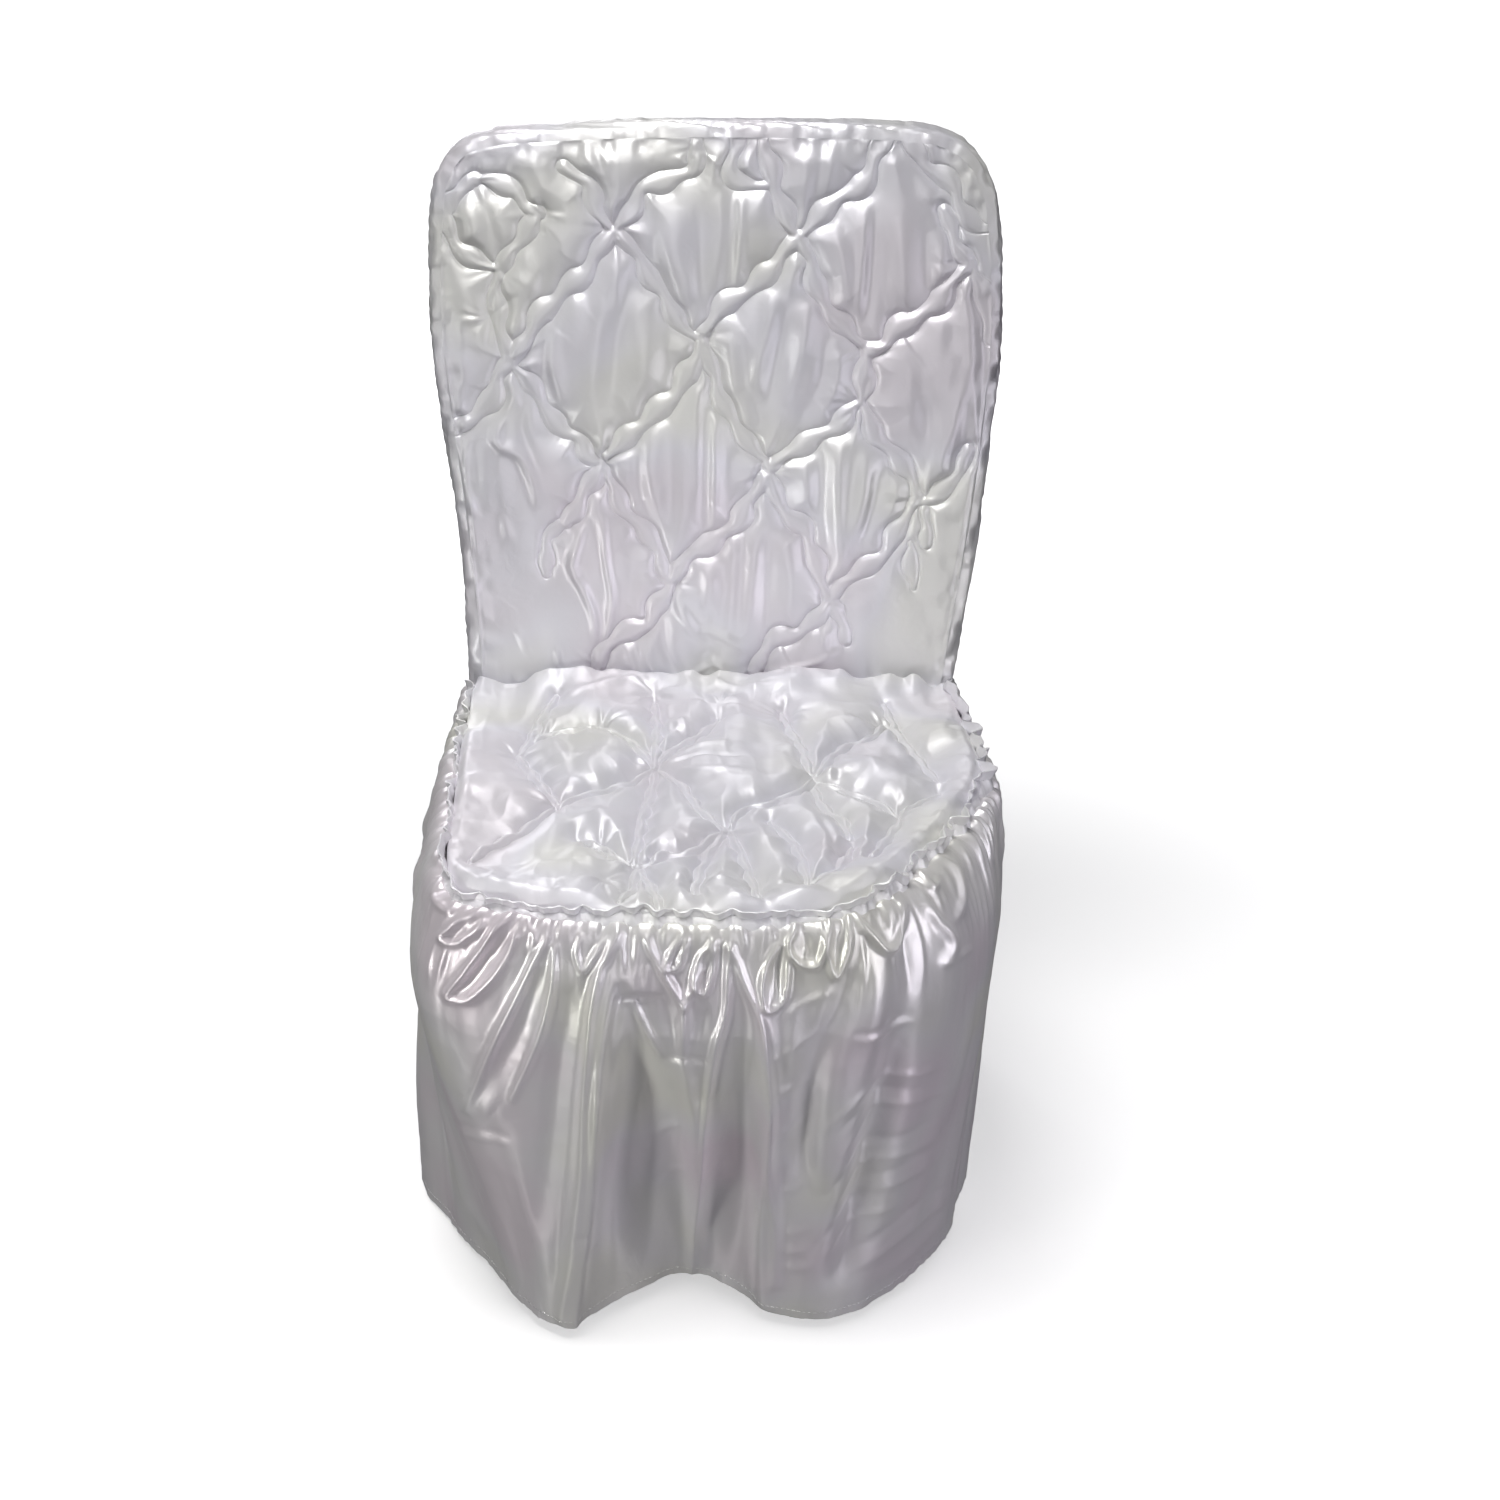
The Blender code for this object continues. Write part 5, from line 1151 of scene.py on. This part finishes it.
def makeSkirt():
    setup = skirtForm
    at = skirtColumns()
    levels = skirtLevels()
    base = skirtBase(at, levels)
    outward = gridNormals(base)
    rows, columns = base.shape[:2]
    run = np.tile(runLengths(runRows(at)[:, 2:4]), rows)
    drop = setup["shoulderDrop"] * levels[:, 0] + (1 - setup["shoulderDrop"]) * levels[:, 1]
    depth = np.repeat(runLengths(base[:, columns // 2]), columns)
    relief, taken = creasesByHand(base.reshape(-1, 3), outward.reshape(-1, 3))
    relief += broadFolds(np.tile(at, rows), np.repeat(drop, columns))
    relief += gathers(run, depth, taken)
    places = np.stack([run, depth], axis=1)
    relief += ease(depth / setup["calm"]) * (sum(swells(places, row) for row in setup["swells"])
                                             + swells(places, setup["crease"], creases))
    relief += setup["shoulderPuff"] * (1 - ease(depth / setup["puffReach"]))
    hemPull = ease((depth - depth.max() + setup["hemReach"]) / setup["hemRise"])
    relief += hemPull * swells(places, setup["hemPull"])
    fromSide = np.minimum(at - setup["sideStart"], runKnots[-1] - setup["sideStart"] - at)
    sideCalm = np.clip(fromSide / setup["sideFade"], 0.0, 1.0)
    topFade = setup["topLeast"] + (1 - setup["topLeast"]) * ease(levels[:, :1] / setup["topFade"])
    outer = base + outward * (relief.reshape(rows, columns) * sideCalm * topFade)[:, :, None]
    for side, column in ((-1, 0), (1, -1)):
        heights = outer[:, column, 2].copy()
        outer[:, column, 0] = rearEdgeX(side, heights) + side * (cover["seamGap"] + setup["sideOut"])
        outer[:, column, 1] = rearY(heights)
    threadRuns["hem"] = outer[-setup["hemStitches"]]
    return clothObject("skirtCloth", outer, cover["cloth"])


# Nodes

def addNode(tree, kind, inputs=None, **settings):
    made = tree.nodes.new(kind)
    for key, value in settings.items():
        setattr(made, key, value)
    for key, value in (inputs or {}).items():
        made.inputs[key].default_value = value
    return made


# Stitches: one row of short thread beads along a sewn line; rows are made for the hem and the heading

stitchForm = {
    "pitch": 0.0044, "length": 0.0032, "thread": 0.0007, "unevenness": 0.2, "seed": 7,
    "segments": 6, "rings": 4,
}


def stitchTree():
    tree = bpy.data.node_groups.new("stitchRow", "GeometryNodeTree")
    for label, kind in (("Places", "Geometry"), ("Stitch Length", "Float"), ("Thread Width", "Float"),
                        ("Unevenness", "Float"), ("Seed", "Int"), ("Finish", "Material")):
        tree.interface.new_socket(name=label, in_out="INPUT", socket_type="NodeSocket" + kind)
    tree.interface.new_socket(name="Stitches", in_out="OUTPUT", socket_type="NodeSocketGeometry")
    join = tree.links.new
    given = addNode(tree, "NodeGroupInput")
    bead = addNode(tree, "GeometryNodeMeshUVSphere",
                   {"Segments": stitchForm["segments"], "Rings": stitchForm["rings"], "Radius": 0.5})
    rounded = addNode(tree, "GeometryNodeSetShadeSmooth")
    join(bead.outputs["Mesh"], rounded.inputs["Geometry"])
    lie = addNode(tree, "GeometryNodeInputNamedAttribute", {"Name": "lie"}, data_type="FLOAT_VECTOR")
    turn = addNode(tree, "FunctionNodeAlignRotationToVector", axis="X")
    join(lie.outputs["Attribute"], turn.inputs["Vector"])
    vary = addNode(tree, "FunctionNodeRandomValue")    # its number sockets are inputs 2 and 3 and output 1
    join(given.outputs["Seed"], vary.inputs["Seed"])
    for operation, socket in (("SUBTRACT", 2), ("ADD", 3)):
        bound = addNode(tree, "ShaderNodeMath", {0: 1.0}, operation=operation)
        join(given.outputs["Unevenness"], bound.inputs[1])
        join(bound.outputs[0], vary.inputs[socket])
    longer = addNode(tree, "ShaderNodeMath", operation="MULTIPLY")
    join(given.outputs["Stitch Length"], longer.inputs[0])
    join(vary.outputs[1], longer.inputs[1])
    size = addNode(tree, "ShaderNodeCombineXYZ")
    join(longer.outputs[0], size.inputs["X"])
    join(given.outputs["Thread Width"], size.inputs["Y"])
    join(given.outputs["Thread Width"], size.inputs["Z"])
    rows = addNode(tree, "GeometryNodeInstanceOnPoints")
    join(given.outputs["Places"], rows.inputs["Points"])
    join(rounded.outputs["Geometry"], rows.inputs["Instance"])
    join(turn.outputs["Rotation"], rows.inputs["Rotation"])
    join(size.outputs["Vector"], rows.inputs["Scale"])
    real = addNode(tree, "GeometryNodeRealizeInstances")
    join(rows.outputs["Instances"], real.inputs["Geometry"])
    paint = addNode(tree, "GeometryNodeSetMaterial")
    join(real.outputs["Geometry"], paint.inputs["Geometry"])
    join(given.outputs["Finish"], paint.inputs["Material"])
    join(paint.outputs["Geometry"], addNode(tree, "NodeGroupOutput").inputs["Stitches"])
    return tree


def makeStitches(name, line, tree, finish):
    setup = stitchForm
    run = runLengths(line)
    at = np.arange(setup["pitch"], run[-1] - setup["pitch"], setup["pitch"])
    ends = [np.column_stack([np.interp(at + step, run, line[:, axis]) for axis in range(3)])
            for step in (-0.5 * setup["length"], 0.5 * setup["length"])]
    mesh = bpy.data.meshes.new(name)
    mesh.from_pydata((0.5 * (ends[0] + ends[1]) + shift).tolist(), [], [])
    lie = mesh.attributes.new("lie", "FLOAT_VECTOR", "POINT")
    lie.data.foreach_set("vector", (ends[1] - ends[0]).ravel())
    made = addObject(name, mesh)
    nodes = made.modifiers.new("stitches", "NODES")
    nodes.node_group = tree
    values = {"Stitch Length": setup["length"], "Thread Width": setup["thread"],
              "Unevenness": setup["unevenness"], "Seed": setup["seed"], "Finish": finish}
    for socket in tree.interface.items_tree:
        if socket.in_out == "INPUT" and socket.name in values:
            nodes[socket.identifier] = values[socket.name]
    evaluated = made.evaluated_get(bpy.context.evaluated_depsgraph_get())
    made.data = bpy.data.meshes.new_from_object(evaluated)
    made.modifiers.clear()
    return made


# Satin

# the back panel's and band's tint is the seat's satin made darker: painted shade, so the front-facing back
# and its band read dimmer
backTintWithPaintedShade = ((0.74, 0.74, 0.715, 1), (0.74, 0.735, 0.775, 1), (0.72, 0.69, 0.73, 1))
smockedTint = ((0.80, 0.80, 0.775, 1), (0.80, 0.795, 0.84, 1), (0.78, 0.75, 0.79, 1))
# the heading's tint is the seat's satin made lighter: painted light, so the heading reads bright along the
# front seam
headingTintWithPaintedLight = ((0.86, 0.86, 0.84, 1), (0.86, 0.855, 0.88, 1), (0.84, 0.82, 0.86, 1))
skirtTint = ((0.78, 0.775, 0.72, 1), (0.775, 0.76, 0.77, 1), (0.76, 0.70, 0.74, 1))
satinLook = {
    "roughness": 0.36, "metal": 0.38, "sheen": 0.12, "shine": 0.7, "drawnOut": 0.7,
    "threads": (0.0, 0.45, 0.9),       # the float lies down the cloth, and front to back on the seat
    "tintScale": 9.0, "tintSteps": (0.32, 0.5, 0.68),
    "glossScale": 38.0, "smoother": 0.04, "rougher": 0.06,
    "wrinkleScale": 70.0, "wrinkle": 0.35, "wrinkleDepth": 0.0009,
    "weaveScale": 900.0, "weaveStretch": 0.15, "weave": 0.06, "weaveDepth": 0.0002,
    "stitch": 0.6, "stitchWidth": 0.0016, "stitchDepth": 0.0010,
}
smockedLook = {**satinLook, "roughness": 0.46, "metal": 0.22, "drawnOut": 0.65, "sheen": 0.16}
backLook = {**smockedLook, "roughness": 0.40, "metal": 0.34, "sheen": 0.12}


def noiseOver(tree, source, inputs):
    made = addNode(tree, "ShaderNodeTexNoise", inputs)
    tree.links.new(source, made.inputs["Vector"])
    return made.outputs["Fac"]


def bumpOver(tree, height, under, strength, distance):
    made = addNode(tree, "ShaderNodeBump", {"Strength": strength, "Distance": distance})
    tree.links.new(height, made.inputs["Height"])
    if under:
        tree.links.new(under, made.inputs["Normal"])
    return made.outputs["Normal"]


def sewnLine(tree, look):
    # narrow dip in the cloth beside each channel, where its thread draws it in
    line = addNode(tree, "ShaderNodeAttribute", attribute_name="stitch")
    off = addNode(tree, "ShaderNodeMath", operation="ABSOLUTE")
    tree.links.new(line.outputs["Fac"], off.inputs[0])
    dip = addNode(tree, "ShaderNodeMapRange", {"From Max": look["stitchWidth"]},
                  interpolation_type="SMOOTHSTEP")
    tree.links.new(off.outputs[0], dip.inputs["Value"])
    return dip.outputs["Result"]


def satinMaterial(name, tints, look, stitched):
    made = bpy.data.materials.new(name)
    made.use_nodes = True
    tree = made.node_tree
    join = tree.links.new
    shader = tree.nodes["Principled BSDF"]
    shader.inputs["Metallic"].default_value = look["metal"]
    shader.inputs["Sheen Weight"].default_value = look["sheen"]
    shader.inputs["Specular IOR Level"].default_value = look["shine"]
    shader.inputs["Anisotropic"].default_value = look["drawnOut"]
    lie = addNode(tree, "ShaderNodeCombineXYZ", dict(zip("XYZ", look["threads"])))
    join(lie.outputs["Vector"], shader.inputs["Tangent"])
    place = addNode(tree, "ShaderNodeTexCoord").outputs["Object"]
    ramp = addNode(tree, "ShaderNodeValToRGB")     # broad, faint shifts of tint
    stops = ramp.color_ramp.elements
    stops.new(look["tintSteps"][1])
    for stop, position, tint in zip(stops, look["tintSteps"], tints):
        stop.position = position
        stop.color = tint
    join(noiseOver(tree, place, {"Scale": look["tintScale"], "Detail": 1.0}), ramp.inputs["Fac"])
    join(ramp.outputs["Color"], shader.inputs["Base Color"])
    gloss = addNode(tree, "ShaderNodeMapRange", {"To Min": look["roughness"] - look["smoother"],
                                                 "To Max": look["roughness"] + look["rougher"]})
    join(noiseOver(tree, place, {"Scale": look["glossScale"]}), gloss.inputs["Value"])
    join(gloss.outputs["Result"], shader.inputs["Roughness"])
    small = noiseOver(tree, place, {"Scale": look["wrinkleScale"], "Detail": 2.0, "Distortion": 0.8})
    normal = bumpOver(tree, small, None, look["wrinkle"], look["wrinkleDepth"])
    stretch = addNode(tree, "ShaderNodeMapping", {"Scale": (1.0, 1.0, look["weaveStretch"])})
    join(place, stretch.inputs["Vector"])
    threads = noiseOver(tree, stretch.outputs["Vector"], {"Scale": look["weaveScale"], "Detail": 0.0})
    normal = bumpOver(tree, threads, normal, look["weave"], look["weaveDepth"])
    if stitched:
        normal = bumpOver(tree, sewnLine(tree, look), normal, look["stitch"], look["stitchDepth"])
    join(normal, shader.inputs["Normal"])
    return made


# Make and place the pieces

smockedSatin = satinMaterial("smockedSatin", smockedTint, smockedLook, True)
# the back and band satins carry painted shade: a darker copy of the seat's tint
backSatin = satinMaterial("backSatin", backTintWithPaintedShade, backLook, True)
plainSatin = satinMaterial("plainSatin", skirtTint, satinLook, False)
bandSatin = satinMaterial("bandSatin", backTintWithPaintedShade, backLook, False)
# heading satin: the seat's satin with painted light in a lighter tint
headingSatin = satinMaterial("headingSatin", headingTintWithPaintedLight, smockedLook, False)

for key, maker, node, slotName, finish in (
        ("back", makeBackPanel, "back_panel_front", "smocked_satin", backSatin),
        ("band", makeBand, "back_band", "plain_satin", bandSatin),
        ("rear", makeRearPanel, "back_panel_rear", "plain_satin", plainSatin),
        ("seat", makeSeat, "seat_panel", "smocked_satin", smockedSatin),
        ("heading", makeHeading, "seat_frill", "heading_satin", headingSatin),
        ("skirt", makeSkirt, "skirt", "plain_satin", plainSatin)):
    piece = maker()
    piece.data.materials.append(finish)
    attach(piece, "root")
    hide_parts(node)
    print(key, "made:", len(piece.data.polygons), "faces")

sewing = stitchTree()
for name, run, slotName, finish in (("hemStitches", "hem", "plain_satin", plainSatin),
                                    ("headingStitches", "heading", "heading_satin", headingSatin)):
    row = makeStitches(name, threadRuns[run], sewing, finish)
    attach(row, "root")
    print(name, "made:", len(row.data.polygons), "faces")


# Floor, light and camera

studio = {
    "floor": 0.80, "floorZ": -0.001, "floorX": (-12, 12), "floorY": (-6, 14),
    "nearGlow": 0.50, "farGlow": 1.1, "clear": (0.45, 1.7),   # glow grows away from the part
    "air": (0.80, 0.80, 0.88), "airLight": 0.10,
}
lamps = {  # place, aim, size, power, colour, cone in degrees
    "overhead": ((-0.20, -0.42, 2.08), (0, 0.0, 0.5), (0.75, 0.45), 22, (1.0, 0.99, 0.98), 180),
    "leftStrip": ((-1.5, -0.7, 0.75), (0, 0.0, 0.45), (0.3, 1.2), 1.6, (1.0, 1.0, 0.95), 180),
    "rightStrip": ((1.5, -0.6, 0.8), (0, 0.0, 0.5), (0.3, 1.2), 1.4, (0.95, 0.93, 1.0), 180),
    "rearFill": ((-0.9, 2.6, 1.2), (0, 0.2, 0.4), (1.4, 1.0), 24, (0.99, 0.98, 1.0), 180),
    "frontFill": ((0.1, -2.0, 0.40), (0, 0.0, 0.12), (0.7, 0.4), 0.34, (1.0, 0.98, 1.0), 60),
    "lowLeft": ((-1.15, -1.1, 0.25), (0, -0.1, 0.12), (0.22, 0.4), 0.90, (1.0, 1.0, 0.96), 60),
    "lowRight": ((1.15, -1.05, 0.28), (0, -0.1, 0.12), (0.9, 0.4), 1.25, (0.96, 0.93, 1.0), 70),
}


def makeFloor():
    (left, right), (near, far), level = studio["floorX"], studio["floorY"], studio["floorZ"]
    corners = [(left, near, level), (right, near, level), (right, far, level), (left, far, level)]
    mesh = bpy.data.meshes.new("floor")
    mesh.from_pydata(corners, [], [(0, 1, 2, 3)])
    floor = addObject("floor", mesh)
    finish = bpy.data.materials.new("floorPaint")
    finish.use_nodes = True
    tree = finish.node_tree
    shader = tree.nodes["Principled BSDF"]
    shader.inputs["Base Color"].default_value = (studio["floor"], studio["floor"], studio["floor"], 1)
    shader.inputs["Roughness"].default_value = 1.0
    shader.inputs["Specular IOR Level"].default_value = 0.0
    shader.inputs["Emission Color"].default_value = (1, 1, 1, 1)
    place = addNode(tree, "ShaderNodeTexCoord")
    distance = addNode(tree, "ShaderNodeVectorMath", operation="LENGTH")
    tree.links.new(place.outputs["Object"], distance.inputs[0])
    glow = addNode(tree, "ShaderNodeMapRange", {
        "From Min": studio["clear"][0], "From Max": studio["clear"][1],
        "To Min": studio["nearGlow"], "To Max": studio["farGlow"]}, interpolation_type="SMOOTHSTEP")
    tree.links.new(distance.outputs["Value"], glow.inputs["Value"])
    tree.links.new(glow.outputs["Result"], shader.inputs["Emission Strength"])
    mesh.materials.append(finish)
    floor.visible_diffuse = False
    floor.visible_glossy = False


def makeLamp(name, place, aim, size, power, colour, cone):
    lamp = bpy.data.lights.new(name, "AREA")
    lamp.spread = math.radians(cone)
    lamp.shape = "RECTANGLE"
    lamp.size, lamp.size_y = size
    lamp.energy = power
    lamp.color = colour
    made = addObject(name, lamp)
    made.location = place
    made.rotation_euler = (Vector(aim) - Vector(place)).to_track_quat("-Z", "Y").to_euler()
    made.visible_camera = False


def makeAir():
    # white where the camera looks past the cover, and dim in the satin's reflections
    world = bpy.data.worlds.new("studioAir")
    world.use_nodes = True
    air = world.node_tree
    backdrop = air.nodes["Background"]
    backdrop.inputs["Color"].default_value = (1, 1, 1, 1)
    dim = addNode(air, "ShaderNodeBackground",
                  {"Color": (*studio["air"], 1), "Strength": studio["airLight"]})
    ray = addNode(air, "ShaderNodeLightPath")
    either = addNode(air, "ShaderNodeMixShader")
    air.links.new(ray.outputs["Is Camera Ray"], either.inputs[0])
    air.links.new(dim.outputs[0], either.inputs[1])
    air.links.new(backdrop.outputs[0], either.inputs[2])
    air.links.new(either.outputs[0], air.nodes["World Output"].inputs["Surface"])
    bpy.context.scene.world = world


def makeCamera():
    made = bpy.data.cameras.new("photoCamera")
    made.sensor_width = lens["sensor"]
    made.lens = lens["focal"] / lens["frame"] * lens["sensor"]
    made.shift_x = 0.5 - lens["middle"][0] / lens["frame"]
    made.shift_y = lens["middle"][1] / lens["frame"] - 0.5
    camera = addObject("photoCamera", made)
    camera.location = lens["place"]
    camera.rotation_euler = (math.pi / 2 - lens["tilt"], 0, 0)
    bpy.context.scene.camera = camera


makeFloor()
for name, settings in lamps.items():
    makeLamp(name, *settings)
makeAir()
makeCamera()
bpy.context.scene.view_settings.view_transform = "Standard"
print("floor, lamps and camera placed")
